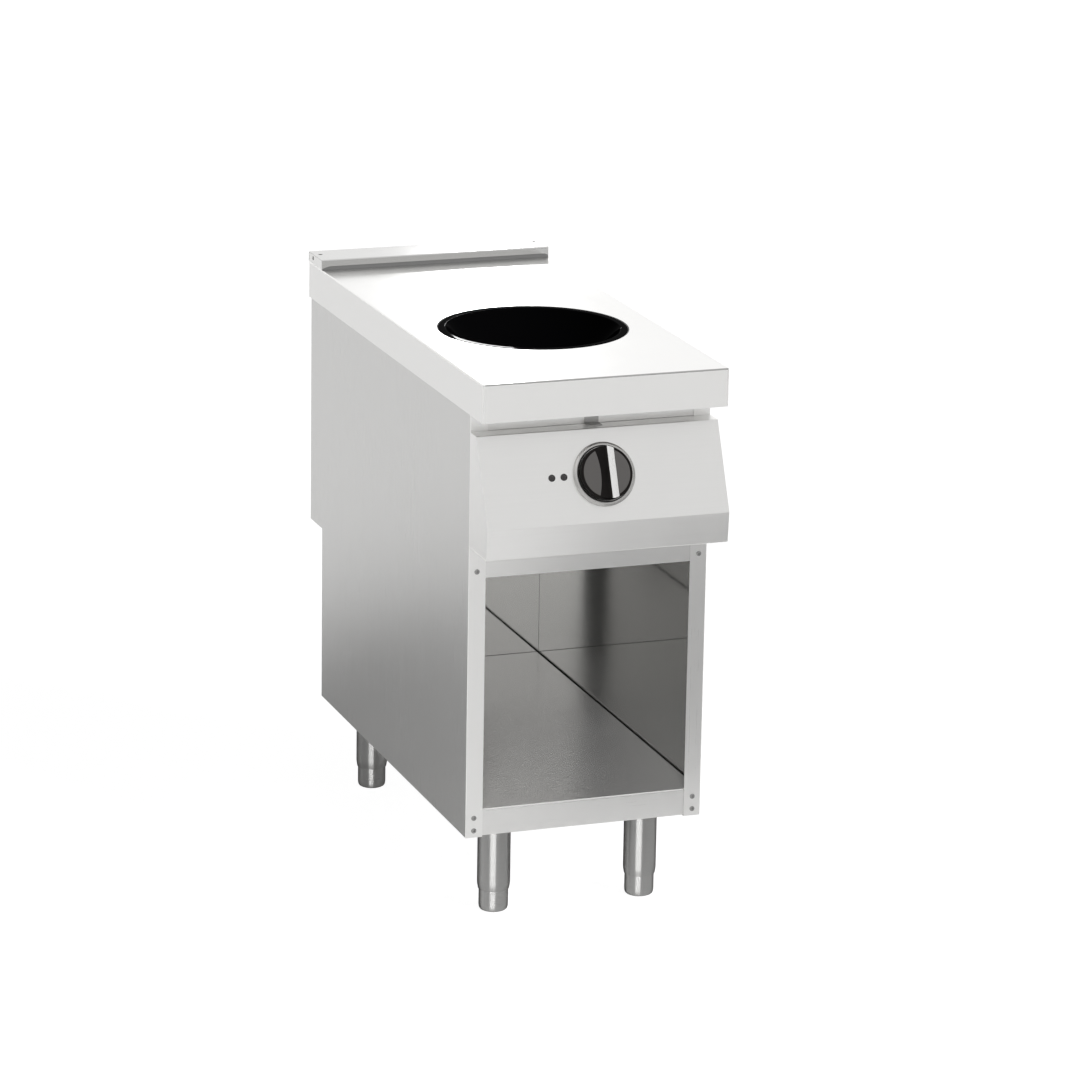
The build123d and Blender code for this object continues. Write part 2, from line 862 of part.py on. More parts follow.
# The origin lies on the floor under the middle of the whole module.
boxes = [piece.bounding_box() for piece in pieces.values()]
middle_y = (min(box.min.Y for box in boxes) + max(box.max.Y for box in boxes)) / 2
to_origin = Pos(0, -middle_y, 0)
print("the worktop's front lies", round(middle_y, 3), "mm before the origin")

os.makedirs("parts", exist_ok=True)
for name, piece in pieces.items():
    export_step(to_origin * piece, f"parts/{name}.step")
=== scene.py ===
"""Looks of the induction wok range: finishes, screws, glass, knob, feet, light and camera."""

import json
from math import acos, atan2, cos, pi, radians, sin

import bmesh
import bpy
from mathutils import Matrix, Vector

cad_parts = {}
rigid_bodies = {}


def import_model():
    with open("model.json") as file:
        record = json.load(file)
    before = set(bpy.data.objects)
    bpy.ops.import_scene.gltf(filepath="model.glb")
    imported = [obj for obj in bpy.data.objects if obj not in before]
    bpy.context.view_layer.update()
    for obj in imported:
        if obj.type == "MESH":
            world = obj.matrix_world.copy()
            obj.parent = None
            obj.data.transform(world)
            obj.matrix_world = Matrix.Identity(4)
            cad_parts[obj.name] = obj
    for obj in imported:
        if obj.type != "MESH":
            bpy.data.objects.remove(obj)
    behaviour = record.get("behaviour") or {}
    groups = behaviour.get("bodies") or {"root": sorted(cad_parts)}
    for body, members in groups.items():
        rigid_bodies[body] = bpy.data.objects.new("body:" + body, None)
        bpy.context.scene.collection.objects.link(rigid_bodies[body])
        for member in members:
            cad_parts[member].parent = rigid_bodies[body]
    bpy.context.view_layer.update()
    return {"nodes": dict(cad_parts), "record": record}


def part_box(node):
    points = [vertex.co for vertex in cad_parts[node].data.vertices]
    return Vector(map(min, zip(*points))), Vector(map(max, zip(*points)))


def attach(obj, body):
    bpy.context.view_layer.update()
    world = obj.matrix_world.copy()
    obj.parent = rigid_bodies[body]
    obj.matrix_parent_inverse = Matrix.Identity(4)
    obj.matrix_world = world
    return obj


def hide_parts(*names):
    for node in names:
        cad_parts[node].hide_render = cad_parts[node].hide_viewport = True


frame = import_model()

MM = 0.001
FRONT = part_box("worktop")[0].y  # the worktop's front face
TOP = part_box("worktop")[1].z  # the cooking surface
SMOOTH_BELOW = radians(32)  # folds and rounds under this angle are shaded as curves
BROKEN_EDGE = 0.0004  # width of the bevel on sheet metal and mouldings
FINE_EDGE = 0.00015
TINY = 1e-9  # anything smaller counts as nothing


def at(x, y, z):
    """A point given in millimetres from the worktop's front face and the floor."""
    return Vector((x * MM, y * MM + FRONT, z * MM))


# ---- shader node groups ----
FINE_SHARE = 0.7  # of a brushed tone; broad scratches take the rest
BROAD_SCRATCHES = (0.13, 0.35, 0.13)  # their scale against that of the fine ones
CLOUD_SHARE = 0.75  # of the handling marks; smudges take the rest
SMUDGES = 7.0  # across one cloud


def tree_group(name, inputs, outputs, kind="ShaderNodeTree"):
    """An empty node group with its sockets, its input node and its output node."""
    tree = bpy.data.node_groups.new(name, kind)
    for way, sockets in (("INPUT", inputs), ("OUTPUT", outputs)):
        for label, socket_kind, *value in sockets:
            socket = tree.interface.new_socket(
                label, in_out=way, socket_type="NodeSocket" + socket_kind)
            if value:
                socket.default_value = value[0]
    return tree, tree.nodes.new("NodeGroupInput"), tree.nodes.new("NodeGroupOutput")


def feed(tree, value, socket):
    """Links another node's value to a socket, or sets the socket to a plain number."""
    if isinstance(value, bpy.types.NodeSocket):
        tree.links.new(value, socket)
    elif value is not None:
        socket.default_value = value


def maths(tree, operation, first, second=None):
    node = tree.nodes.new("ShaderNodeMath")
    node.operation = operation
    feed(tree, first, node.inputs[0])
    feed(tree, second, node.inputs[1])
    return node.outputs[0]


def blended(tree, first, second, share):
    """Two values added up, the first with its share and the second with the rest."""
    return maths(tree, "ADD", maths(tree, "MULTIPLY", first, share),
                 maths(tree, "MULTIPLY", second, 1 - share))


def noise(tree, vector, scale, detail, roughness=0.5):
    node = tree.nodes.new("ShaderNodeTexNoise")
    node.inputs["Scale"].default_value = scale
    node.inputs["Detail"].default_value = detail
    node.inputs["Roughness"].default_value = roughness
    tree.links.new(vector, node.inputs["Vector"])
    return node.outputs["Fac"]


def stretched(tree, vector, scale):
    node = tree.nodes.new("ShaderNodeVectorMath")
    node.operation = "MULTIPLY"
    feed(tree, vector, node.inputs[0])
    feed(tree, scale, node.inputs[1])
    return node.outputs[0]


def make_brushing():
    """Fine parallel scratches: one value for tone and roughness, one for height."""
    tree, given, result = tree_group(
        "Brushing",
        [("Vector", "Vector"), ("Scratches", "Vector", (900, 12, 900))],
        [("Tone", "Float"), ("Height", "Float")],
    )
    along = stretched(tree, given.outputs["Vector"], given.outputs["Scratches"])
    fine = noise(tree, along, 1.0, 3.0, 0.7)
    broad = noise(tree, stretched(tree, along, BROAD_SCRATCHES), 1.0, 1.0)
    tree.links.new(blended(tree, fine, broad, FINE_SHARE), result.inputs["Tone"])
    tree.links.new(fine, result.inputs["Height"])
    return tree


def make_handling():
    """Faint wiping clouds and small smudges that sheet steel picks up in use."""
    tree, given, result = tree_group(
        "Handling",
        [("Vector", "Vector"), ("Size", "Float", 4.0)],
        [("Marks", "Float")],
    )
    scaled = stretched(tree, given.outputs["Vector"], given.outputs["Size"])
    clouds = noise(tree, scaled, 1.0, 4.0, 0.6)
    smudges = noise(tree, scaled, SMUDGES, 2.0, 0.5)
    tree.links.new(blended(tree, clouds, smudges, CLOUD_SHARE), result.inputs["Marks"])
    return tree


def make_turning():
    """Concentric tool marks about the Z axis of a centred vector."""
    tree, given, result = tree_group(
        "Turning",
        [("Vector", "Vector"), ("Fineness", "Float", 1500.0)],
        [("Rings", "Float")],
    )
    flat = stretched(tree, given.outputs["Vector"], (1, 1, 0))
    length = tree.nodes.new("ShaderNodeVectorMath")
    length.operation = "LENGTH"
    tree.links.new(flat, length.inputs[0])
    rings = tree.nodes.new("ShaderNodeTexNoise")
    rings.noise_dimensions = "1D"
    rings.inputs["Detail"].default_value = 2.0
    tree.links.new(maths(tree, "MULTIPLY", length.outputs["Value"], given.outputs["Fineness"]),
                   rings.inputs["W"])
    tree.links.new(rings.outputs["Fac"], result.inputs["Rings"])
    return tree


BRUSHING = make_brushing()
HANDLING = make_handling()
TURNING = make_turning()


# ---- materials ----
PAINTED_EDGE_SHADE = 0.12  # painted shade: how much of the light a tube's turned-away edges throw back, darkened in the material to stand in for the shaded floor they mirror
LEVEL_ABOVE = 0.7  # the normal's upward part from which a face counts as level
GRAIN_ROUGHNESS = 0.1  # share of the roughness that scratches change
BUMP_PER_METRE = 3000  # bump strength for scratches one metre deep
RING_BUMP, RING_DEPTH = 0.2, 0.00005
RING_SMOOTHER, RING_ROUGHER = 0.05, 0.07
GRAINS_PER_CLOUD = 12
GRAIN_BUMP = 0.25


def colour(level, tint=(1.0, 1.0, 1.0)):
    return tuple(level * part for part in tint) + (1.0,)


def new_material(name, metallic, base, roughness):
    """A material with a Principled shader and its Object coordinates."""
    material = bpy.data.materials.new(name)
    material.use_nodes = True
    tree = material.node_tree
    shader = tree.nodes["Principled BSDF"]
    shader.inputs["Metallic"].default_value = metallic
    shader.inputs["Base Color"].default_value = base
    shader.inputs["Roughness"].default_value = roughness
    coords = tree.nodes.new("ShaderNodeTexCoord").outputs["Object"]
    return material, tree, shader, coords


def placed_group(tree, group, vector, **values):
    node = tree.nodes.new("ShaderNodeGroup")
    node.node_tree = group
    tree.links.new(vector, node.inputs["Vector"])
    for label, value in values.items():
        node.inputs[label].default_value = value
    return node


def ramp_colours(tree, factor, dark, light):
    """A colour that runs from dark to light as the factor goes from 0 to 1."""
    node = tree.nodes.new("ShaderNodeMix")
    node.data_type = "RGBA"
    node.inputs["A"].default_value = dark
    node.inputs["B"].default_value = light
    tree.links.new(factor, node.inputs["Factor"])
    return node.outputs["Result"]


def spread(tree, factor, low, high, start=0.3, end=0.7):
    """A value that runs from low to high while the factor goes from start to end."""
    node = tree.nodes.new("ShaderNodeMapRange")
    for label, value in (("From Min", start), ("From Max", end), ("To Min", low), ("To Max", high)):
        node.inputs[label].default_value = value
    tree.links.new(factor, node.inputs["Value"])
    return node.outputs["Result"]


def mixed_value(tree, factor, first, second):
    """The first value at factor 0, the second at factor 1."""
    node = tree.nodes.new("ShaderNodeMix")
    feed(tree, factor, node.inputs["Factor"])
    feed(tree, first, node.inputs["A"])
    feed(tree, second, node.inputs["B"])
    return node.outputs["Result"]


def bump(tree, height, shader, strength, distance):
    node = tree.nodes.new("ShaderNodeBump")
    node.inputs["Strength"].default_value = strength
    node.inputs["Distance"].default_value = distance
    tree.links.new(height, node.inputs["Height"])
    tree.links.new(node.outputs["Normal"], shader.inputs["Normal"])


def brushed_steel(name, level, roughness, scratches, tint=(1.0, 0.995, 0.98), contrast=0.06,
                  marks=0.04, level_scratches=None, depth=0.00003, upright_sheen=0.0,
                  metallic=1.0):
    """Satin stainless steel. level_scratches gives level faces another direction, and
    upright_sheen draws highlights out upwards, as turning marks round a tube do, and darkens the
    turned-away edges with painted shade."""
    material, tree, shader, coords = new_material(name, metallic, colour(level, tint), roughness)
    if upright_sheen:
        shader.inputs["Anisotropic"].default_value = upright_sheen
        # painted shade: this edge tint darkens the tube's grazing reflections
        shader.inputs["Specular Tint"].default_value = colour(PAINTED_EDGE_SHADE)
        upwards = tree.nodes.new("ShaderNodeCombineXYZ")
        upwards.inputs["Z"].default_value = 1.0
        tree.links.new(upwards.outputs[0], shader.inputs["Tangent"])
    brushing = placed_group(tree, BRUSHING, coords, Scratches=scratches)
    tone = brushing.outputs["Tone"]
    height = brushing.outputs["Height"]
    if level_scratches:
        other = placed_group(tree, BRUSHING, coords, Scratches=level_scratches)
        facing = tree.nodes.new("ShaderNodeSeparateXYZ")
        normal = tree.nodes.new("ShaderNodeTexCoord").outputs["Normal"]
        tree.links.new(normal, facing.inputs[0])
        is_level = maths(tree, "GREATER_THAN", facing.outputs["Z"], LEVEL_ABOVE)
        tone, height = [
            mixed_value(tree, is_level, brushing.outputs[label], other.outputs[label])
            for label in ("Tone", "Height")
        ]
    clouds = placed_group(tree, HANDLING, coords, Size=5.0).outputs["Marks"]
    dark, light = colour(level * (1 - contrast), tint), colour(level * (1 + contrast), tint)
    tree.links.new(ramp_colours(tree, tone, dark, light), shader.inputs["Base Color"])
    grained = GRAIN_ROUGHNESS * roughness
    rough = maths(tree, "ADD", spread(tree, tone, -grained, grained),
                  spread(tree, clouds, -marks, marks))
    tree.links.new(maths(tree, "ADD", rough, roughness), shader.inputs["Roughness"])
    bump(tree, height, shader, min(1.0, depth * BUMP_PER_METRE), depth)
    return material


def turned_metal(name, level, roughness, place, tint, contrast, fineness=1500.0):
    """Lathe-turned metal with rings about the Z axis of a place."""
    material, tree, shader, coords = new_material(name, 1.0, colour(level, tint), roughness)
    mapping = tree.nodes.new("ShaderNodeMapping")
    mapping.vector_type = "TEXTURE"
    mapping.inputs["Location"].default_value = place.to_translation()
    mapping.inputs["Rotation"].default_value = place.to_euler()
    tree.links.new(coords, mapping.inputs["Vector"])
    turning = placed_group(tree, TURNING, mapping.outputs["Vector"], Fineness=fineness)
    rings = turning.outputs["Rings"]
    dark, light = colour(level * (1 - contrast), tint), colour(level * (1 + contrast), tint)
    tree.links.new(ramp_colours(tree, rings, dark, light), shader.inputs["Base Color"])
    tree.links.new(spread(tree, rings, roughness - RING_SMOOTHER, roughness + RING_ROUGHER),
                   shader.inputs["Roughness"])
    bump(tree, rings, shader, RING_BUMP, RING_DEPTH)
    return material


def mottled(name, base, roughness, metallic=0.0, size=60.0, contrast=0.15, depth=0.0001,
            specular=0.5, roughening=0.06):
    """Moulded, cast or coated stuff with a fine uneven surface."""
    material, tree, shader, coords = new_material(name, metallic, colour(1, base), roughness)
    shader.inputs["Specular IOR Level"].default_value = specular
    grain = noise(tree, coords, size * GRAINS_PER_CLOUD, 3.0, 0.6)
    clouds = placed_group(tree, HANDLING, coords, Size=size).outputs["Marks"]
    dark, light = colour(1 - contrast, base), colour(1 + contrast, base)
    tree.links.new(ramp_colours(tree, clouds, dark, light), shader.inputs["Base Color"])
    tree.links.new(spread(tree, clouds, roughness - roughening, roughness + roughening),
                   shader.inputs["Roughness"])
    if depth:
        bump(tree, grain, shader, GRAIN_BUMP, depth)
    return material


# ---- meshes ----
CORNER_SHARE = 0.49  # how much of an edge a rounded corner may take
WELD = 1e-6  # vertices this near each other are joined
FLAT_WITHIN = radians(0.5)  # faces that differ by less are joined
SEAM_EDGE = 3.0  # millimetres from a tray's edge within which vertices move with it
LEANING, TILTED, SQUARE = 0.2, 0.5, 0.9  # how much of a face's normal runs along an axis


def in_metres(points):
    return [(x * MM, y * MM) for x, y in points]


def axes_at(place, *axes):
    """The matrix that lays the local X, Y and Z along three axes at a place."""
    return Matrix.Translation(place) @ Matrix(axes).transposed().to_4x4()


def in_scene(name, data):
    """A new object from a mesh, a lamp or a camera, linked into the scene."""
    thing = bpy.data.objects.new(name, data)
    bpy.context.scene.collection.objects.link(thing)
    return thing


def meshed(name, data):
    """A mesh from a bmesh, which is used up."""
    mesh = bpy.data.meshes.new(name)
    data.to_mesh(mesh)
    data.free()
    return mesh


def carried_out(thing):
    """A new mesh from an object with its modifiers carried out."""
    graph = bpy.context.evaluated_depsgraph_get()
    return bpy.data.meshes.new_from_object(thing.evaluated_get(graph))


def rounded(points, radius, steps=6):
    """The open line through points with its inner corners rounded to radius."""
    line = [Vector(points[0])]
    for before, corner, after in zip(points, points[1:], points[2:]):
        before, corner, after = Vector(before), Vector(corner), Vector(after)
        back, ahead = (before - corner).normalized(), (after - corner).normalized()
        reach = min(radius, CORNER_SHARE * (before - corner).length,
                    CORNER_SHARE * (after - corner).length)
        for step in range(steps + 1):
            part = step / steps
            line.append(corner + back * reach * (1 - part) ** 2 + ahead * reach * part**2)
    line.append(Vector(points[-1]))
    return line


def new_piece(name, data, material, body, nodes=(), bevel=0.0):
    """A piece from a finished bmesh, shaded, finished and fastened to its body."""
    bmesh.ops.recalc_face_normals(data, faces=data.faces)
    mesh = meshed(name, data)
    mesh.materials.append(material)
    finish_piece(name, mesh, body, nodes, bevel)


def finish_piece(name, mesh, body, nodes, bevel):
    """Breaks the mesh's sharp edges, keeps its flats flat and fastens the piece."""
    mesh.shade_smooth()
    mesh.set_sharp_from_angle(angle=SMOOTH_BELOW)
    piece = in_scene(name, mesh)
    if bevel:
        edges = piece.modifiers.new("Edge", "BEVEL")
        edges.width = bevel
        edges.segments = 2
        edges.limit_method = "ANGLE"
        edges.angle_limit = SMOOTH_BELOW
    flats = piece.modifiers.new("Flats", "WEIGHTED_NORMAL")
    flats.keep_sharp = not bevel
    flats.weight = 80
    piece.data = carried_out(piece)
    piece.data.name = name
    piece.modifiers.clear()
    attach(piece, body)
    if nodes:
        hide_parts(*nodes)


def turned_mesh(profile, place, sides):
    """A closed shape turned about Z from (radius, height) points in millimetres."""
    data = bmesh.new()
    rings = []
    turns = [2 * pi * side / sides for side in range(sides)]
    for radius, height in in_metres(profile):
        if radius < TINY:
            points = [(0, 0, height)]
        else:
            points = [(radius * cos(turn), radius * sin(turn), height) for turn in turns]
        rings.append([data.verts.new(place @ Vector(point)) for point in points])
    closed = rings if len(rings[0]) == 1 else rings + [rings[0]]
    for low, high in zip(closed, closed[1:]):
        for side in range(sides):
            outline = [low[side % len(low)], low[(side + 1) % len(low)],
                       high[(side + 1) % len(high)], high[side % len(high)]]
            outline = list(dict.fromkeys(outline))
            if len(outline) > 2:
                data.faces.new(outline)
    return data


def band(data, one, other):
    """A band of faces between two closed rows of vertices."""
    for k in range(len(one)):
        after = (k + 1) % len(one)
        data.faces.new([one[k], one[after], other[after], other[k]])


def skin(data, rows):
    """Bands of faces from row to row, and a face that shuts each end."""
    for one, other in zip(rows, rows[1:]):
        band(data, one, other)
    data.faces.new(rows[0][::-1])
    data.faces.new(rows[-1])


def open_seams(data, sideways, back):
    """Draws a tray's sides and its rear edge in, so that a seam stays open round it."""
    half = max(vert.co.x for vert in data.verts)
    rear = max(vert.co.y for vert in data.verts)
    for vert in data.verts:
        if abs(vert.co.x) > half - SEAM_EDGE * MM:
            vert.co.x -= sideways if vert.co.x > 0 else -sideways
        if vert.co.y > rear - SEAM_EDGE * MM:
            vert.co.y -= back


def is_upright_fold(face):
    """Whether a face is part of a rounded fold between a side and a front."""
    x, y, z = face.normal
    return y < -LEANING and abs(x) > LEANING and abs(z) < TILTED


def side_panel_finish(face):
    """Which of PANEL_STEELS a face takes: outside, the wall that looks into the bay, the
    flange's back, whose dark sheet is painted shade that the bay's walls mirror as a dark band, its
    front or its fold."""
    middle = face.calc_center_median()
    if is_upright_fold(face):
        return 4
    if face.normal.x * middle.x < -SQUARE * abs(middle.x):
        return 1
    # the flange's back: dark sheet as painted shade
    if face.normal.y > SQUARE and middle.y < 0:
        return 2
    return 3 if face.normal.y < -SQUARE else 0


def worktop_finish(face):
    """0 for the sheet, 1 for the fold along the top's front edge, whose darker steel is painted
    shade on that rounded edge, 2 for upright front folds.
    """
    if is_upright_fold(face):
        return 2
    # the front-edge fold takes the darker steel: painted shade
    return 1 if face.normal.y < -LEANING and face.normal.z > LEANING else 0


def cheek_finish(face):
    """0 for the sheet, 1 for its upright front folds."""
    return 1 if is_upright_fold(face) else 0


def sheet_copy(node, materials, slot, choose=None, pull_in=None):
    """A sheet-metal node again, with whole faces, smooth folds and broken edges.
    choose says for a face which of the materials it takes."""
    mesh = frame["nodes"][node].data.copy()
    data = bmesh.new()
    data.from_mesh(mesh)
    bmesh.ops.remove_doubles(data, verts=data.verts, dist=WELD)
    bmesh.ops.dissolve_limit(data, angle_limit=FLAT_WITHIN, verts=data.verts, edges=data.edges)
    if pull_in:
        open_seams(data, *pull_in)
    data.normal_update()
    for face in data.faces:
        face.material_index = choose(face) if choose else 0
    mesh.materials.clear()
    for material in materials:
        mesh.materials.append(material)
    data.to_mesh(mesh)
    data.free()
    finish_piece(node + "_finished", mesh, "range", [node], BROKEN_EDGE)


def cad_finish(node, material):
    """A kept node takes its procedural material."""
    slots = frame["nodes"][node].data.materials
    slots.clear()
    slots.append(material)


# ---- finishes ----
ALONG_X = (14, 2600, 2600)  # scratches per metre in each direction
ALONG_Y = (2600, 14, 2600)
UPRIGHT = (2600, 2600, 14)
LEVEL_LINES = (14, 14, 2600)
QUIET = {"contrast": 0.02, "marks": 0.01, "depth": 0.000003}  # for sheets that look almost plain

top_steel = brushed_steel("top_steel", 0.92, 0.20, LEVEL_LINES, level_scratches=ALONG_Y,
                          contrast=0.03)
upstand_steel = brushed_steel("upstand_steel", 0.66, 0.18, LEVEL_LINES, contrast=0.03)
side_steel = brushed_steel("cabinet_steel", 0.70, 0.26, UPRIGHT, **QUIET)
front_steel = brushed_steel("front_steel", 0.82, 0.30, LEVEL_LINES, **QUIET)
panel_steel = brushed_steel("panel_steel", 0.93, 0.34, ALONG_X, contrast=0.04)
catch_steel = brushed_steel("catch_steel", 0.52, 0.45, LEVEL_LINES)
bay_steel = brushed_steel("bay_steel", 0.62, 0.035, UPRIGHT, contrast=0.03, marks=0.004,
                          depth=0.000004)
floor_steel = brushed_steel("floor_steel", 0.96, 0.19, ALONG_Y, contrast=0.02, marks=0.02,
                            depth=0.000004, metallic=0.72)
# painted shade: darker steel on the worktop's rounded front edge, standing in for the shade along
# it
fold_steel = brushed_steel("fold_steel", 0.45, 0.30, LEVEL_LINES, contrast=0.05)
corner_steel = brushed_steel("corner_steel", 0.96, 0.35, UPRIGHT, contrast=0.03)
upright_steel = brushed_steel("upright_steel", 0.90, 0.30, UPRIGHT, **QUIET)
# dark sheet of the inner parts; on the side panels' flange backs it is painted shade, which the
# bay's mirror-like walls show as a dark band
inner_and_shade_steel = brushed_steel("inner_sheet", 0.22, 0.50, UPRIGHT, contrast=0.12, marks=0.1)
foot_steel = brushed_steel("foot_steel", 0.36, 0.32, LEVEL_LINES, upright_sheen=0.95)
insert_steel = brushed_steel("insert_steel", 0.38, 0.30, LEVEL_LINES, upright_sheen=0.95)
filter_metal = brushed_steel("filter_metal", 0.60, 0.35, ALONG_X)
screw_steel = brushed_steel("screw_steel", 0.38, 0.40, LEVEL_LINES)
sink_aluminium = brushed_steel("sink_aluminium", 0.80, 0.40, ALONG_Y, tint=(1, 1, 1))
stud_brass = mottled("stud_brass", (0.80, 0.58, 0.26), 0.3, 1.0, contrast=0.08)
inlay_metal = brushed_steel("inlay_metal", 0.66, 0.30, UPRIGHT, contrast=0.04, metallic=0.4)

black_glass = mottled("black_glass", (0.0015, 0.0015, 0.0017), 0.03, size=8.0, contrast=0.1,
                      depth=0.0, specular=0.0004, roughening=0.01)
# painted shade: dark grey bead standing in for the shade along the upstand's foot
joint_sealant = mottled("joint_sealant", (0.12, 0.12, 0.118), 0.5, size=90.0)
black_seal = mottled("black_seal", (0.012, 0.012, 0.012), 0.55, size=120.0)
knob_plastic = mottled("knob_plastic", (0.007, 0.006, 0.0055), 0.5, size=160.0,
                       depth=0.00008, specular=0.10)
gland_plastic = mottled("gland_plastic", (0.03, 0.03, 0.032), 0.5, size=90.0)
former_plastic = mottled("former_plastic", (0.50, 0.48, 0.42), 0.6, size=90.0)
ferrite = mottled("ferrite", (0.05, 0.05, 0.055), 0.7, size=200.0, contrast=0.3)
board_green = mottled("board", (0.02, 0.10, 0.04), 0.45, size=120.0)
lamp_lens = mottled("lamp_lens", (0.02, 0.018, 0.018), 0.18, depth=0.00002)
winding = mottled("winding", (0.55, 0.24, 0.11), 0.4, 1.0, size=150.0)

# ---- sheet-metal pieces ----
PANEL_STEELS = [side_steel, bay_steel, inner_and_shade_steel, upright_steel, corner_steel]
SHEETS = {
    "worktop": ([top_steel, fold_steel, corner_steel], "top_steel", worktop_finish),
    "rear_upstand": ([upstand_steel], "top_steel"),
    "left_side_panel": (PANEL_STEELS, "cabinet_steel", side_panel_finish),
    "right_side_panel": (PANEL_STEELS, "cabinet_steel", side_panel_finish),
    **{node: ([front_steel], "cabinet_steel")
       for node in ("top_rail", "bottom_rail", "neck_rail", "overhang_soffit")},
    "base_floor": ([floor_steel], "cabinet_steel"),
    "base_back": ([bay_steel], "cabinet_steel"),
    "rear_cover": ([side_steel], "cabinet_steel"),
    "control_panel": ([panel_steel], "panel_steel"),
    "left_panel_cheek": ([panel_steel, corner_steel], "panel_steel", cheek_finish),
    "right_panel_cheek": ([panel_steel, corner_steel], "panel_steel", cheek_finish),
    "panel_catch": ([catch_steel], "catch_steel"),
}
SEAMS = {"base_floor": (2.0 * MM, 1.6 * MM)}  # how far its sides and its back are drawn in
for node, settings in SHEETS.items():
    sheet_copy(node, *settings, pull_in=SEAMS.get(node))

KEPT = (
    (winding, "induction_coil"),
    (former_plastic, "coil_former", "bowl_probe", "terminal_block", "power_regulator"),
    (ferrite, "ferrite_bars"),
    (inner_and_shade_steel, "coil_bridge", "front_foot_beam", "rear_foot_beam", "power_tray", "fan_bulkhead"),
    (bay_steel, "housing_floor"),
    (filter_metal, "intake_filter"),
    (side_steel, "rear_ledge"),
    (gland_plastic, "cable_gland", "filter_capacitors", "fan_housing", "fan_rotor"),
    (stud_brass, "bonding_stud"),
    (insert_steel, "knob_spindle"),
    (board_green, "power_board"),
    (sink_aluminium, "heat_sink"),
)
for finish, *nodes in KEPT:
    for node in nodes:
        cad_finish(node, finish)

# ---- rear upstand's end plates and the bead at its foot ----
PLATE = 1.2  # thickness of an end plate
PLATE_LIFT = 0.4  # its gap above the worktop
PLATE_INSET = 0.3  # how far it lies inside the upstand's end
PLATE_HOLE = 3.4  # radius of its hole
HOLE_BACK, HOLE_UP = 0.68, 0.62  # its place, as shares of the plate's depth and height
HOLE_SIDES = 40
BEAD = 6.0  # full size of the bead
BEAD_LEFT = ((0, 0.35), (6, 0.7), (13, 1.0))  # from the left end: place, share of full size
BEAD_RIGHT = ((6, 1.0), (0, 0.6))  # the same, from the right end
BEAD_SHORT = 1.0  # how far it stops before the upstand's ends
BEAD_SUNK = 0.2  # how far it reaches into the worktop
BEAD_BEHIND = 0.3  # and behind the upstand's front wall
BEAD_STEPS = 10
upstand_low, upstand_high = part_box("rear_upstand")


def end_plates():
    """A thin plate in each end of the upstand, with one round hole towards its rear."""
    data = bmesh.new()
    low = Vector((upstand_low.y + PLATE * MM, upstand_low.z + PLATE_LIFT * MM))
    high = Vector((upstand_high.y - PLATE * MM, upstand_high.z - PLATE * MM))
    hole = Vector((low.x + (high.x - low.x) * HOLE_BACK, low.y + (high.y - low.y) * HOLE_UP))
    plate_corners = [(x, y) for x in (low.x, high.x) for y in (low.y, high.y)]
    angles = sorted({2 * pi * k / HOLE_SIDES for k in range(HOLE_SIDES)}
                    | {atan2(y - hole.y, x - hole.x) % (2 * pi) for x, y in plate_corners})
    for end in (-1, 1):
        outer_x = end * (upstand_high.x - PLATE_INSET * MM)
        rings = []
        for across in (outer_x, outer_x - end * PLATE * MM):
            inner, outer = [], []
            for angle in angles:
                ahead = Vector((cos(angle), sin(angle)))
                reach = min(
                    ((high if part > 0 else low)[k] - hole[k]) / part
                    for k, part in enumerate(ahead) if abs(part) > TINY
                )
                for ring, distance in ((inner, PLATE_HOLE * MM), (outer, reach)):
                    point = hole + ahead * distance
                    ring.append(data.verts.new((across, point.x, point.y)))
            rings.append((inner, outer))
        (front_in, front_out), (back_in, back_out) = rings
        around = [front_in, front_out, back_out, back_in]
        for one, other in zip(around, around[1:] + around[:1]):
            band(data, one, other)
    new_piece("upstand_end_plates", data, top_steel, "range")


def upstand_foot_bead():
    """The hollowed bead along the upstand's foot, run out at its ends; its dark grey is painted
    shade along that foot.
    """
    data = bmesh.new()
    half = upstand_high.x - BEAD_SHORT * MM
    right_end = 2 * half / MM
    foot, wall = TOP - BEAD_SUNK * MM, upstand_low.y + BEAD_BEHIND * MM
    rows = []
    for place, share in BEAD_LEFT + tuple((right_end - back, share) for back, share in BEAD_RIGHT):
        radius = BEAD * share * MM
        front = upstand_low.y - radius
        turns = [pi / 2 * k / BEAD_STEPS for k in range(BEAD_STEPS + 1)]
        line = [(front + radius * sin(turn), TOP + radius - radius * cos(turn)) for turn in turns]
        line = [(front, foot), *line, (wall, TOP + radius), (wall, foot)]
        rows.append([data.verts.new((place * MM - half, y, z)) for y, z in line])
    skin(data, rows)
    new_piece("upstand_bead", data, joint_sealant, "range")


end_plates()
upstand_foot_bead()

# ---- glass bowl and its seal ----
BOWL_RADIUS = 150.5
BOWL_RIM = 12.0  # width of its flat rim
BOWL_DEPTH = 70.0
GLASS = 5.0  # its thickness
RIM_ROUND = 1.6
RIM_POINTS = 4  # the dish's last points, which give way to the rounded rim
DISH_STEPS = 40
BOWL_SIDES = 160
SEAL = 2.0  # width of the seal
SEAL_EDGE, SEAL_MIDDLE = 0.7, 0.9  # how far it lies below the worktop
dish_radius = BOWL_RADIUS - BOWL_RIM
dish_sphere = (dish_radius**2 + BOWL_DEPTH**2) / (2 * BOWL_DEPTH)
dish_middle = dish_sphere - BOWL_DEPTH
bowl_low, bowl_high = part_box("wok_bowl")
bowl_centre = (bowl_low + bowl_high) / 2
bowl_place = Matrix.Translation((bowl_centre.x, bowl_centre.y, TOP))


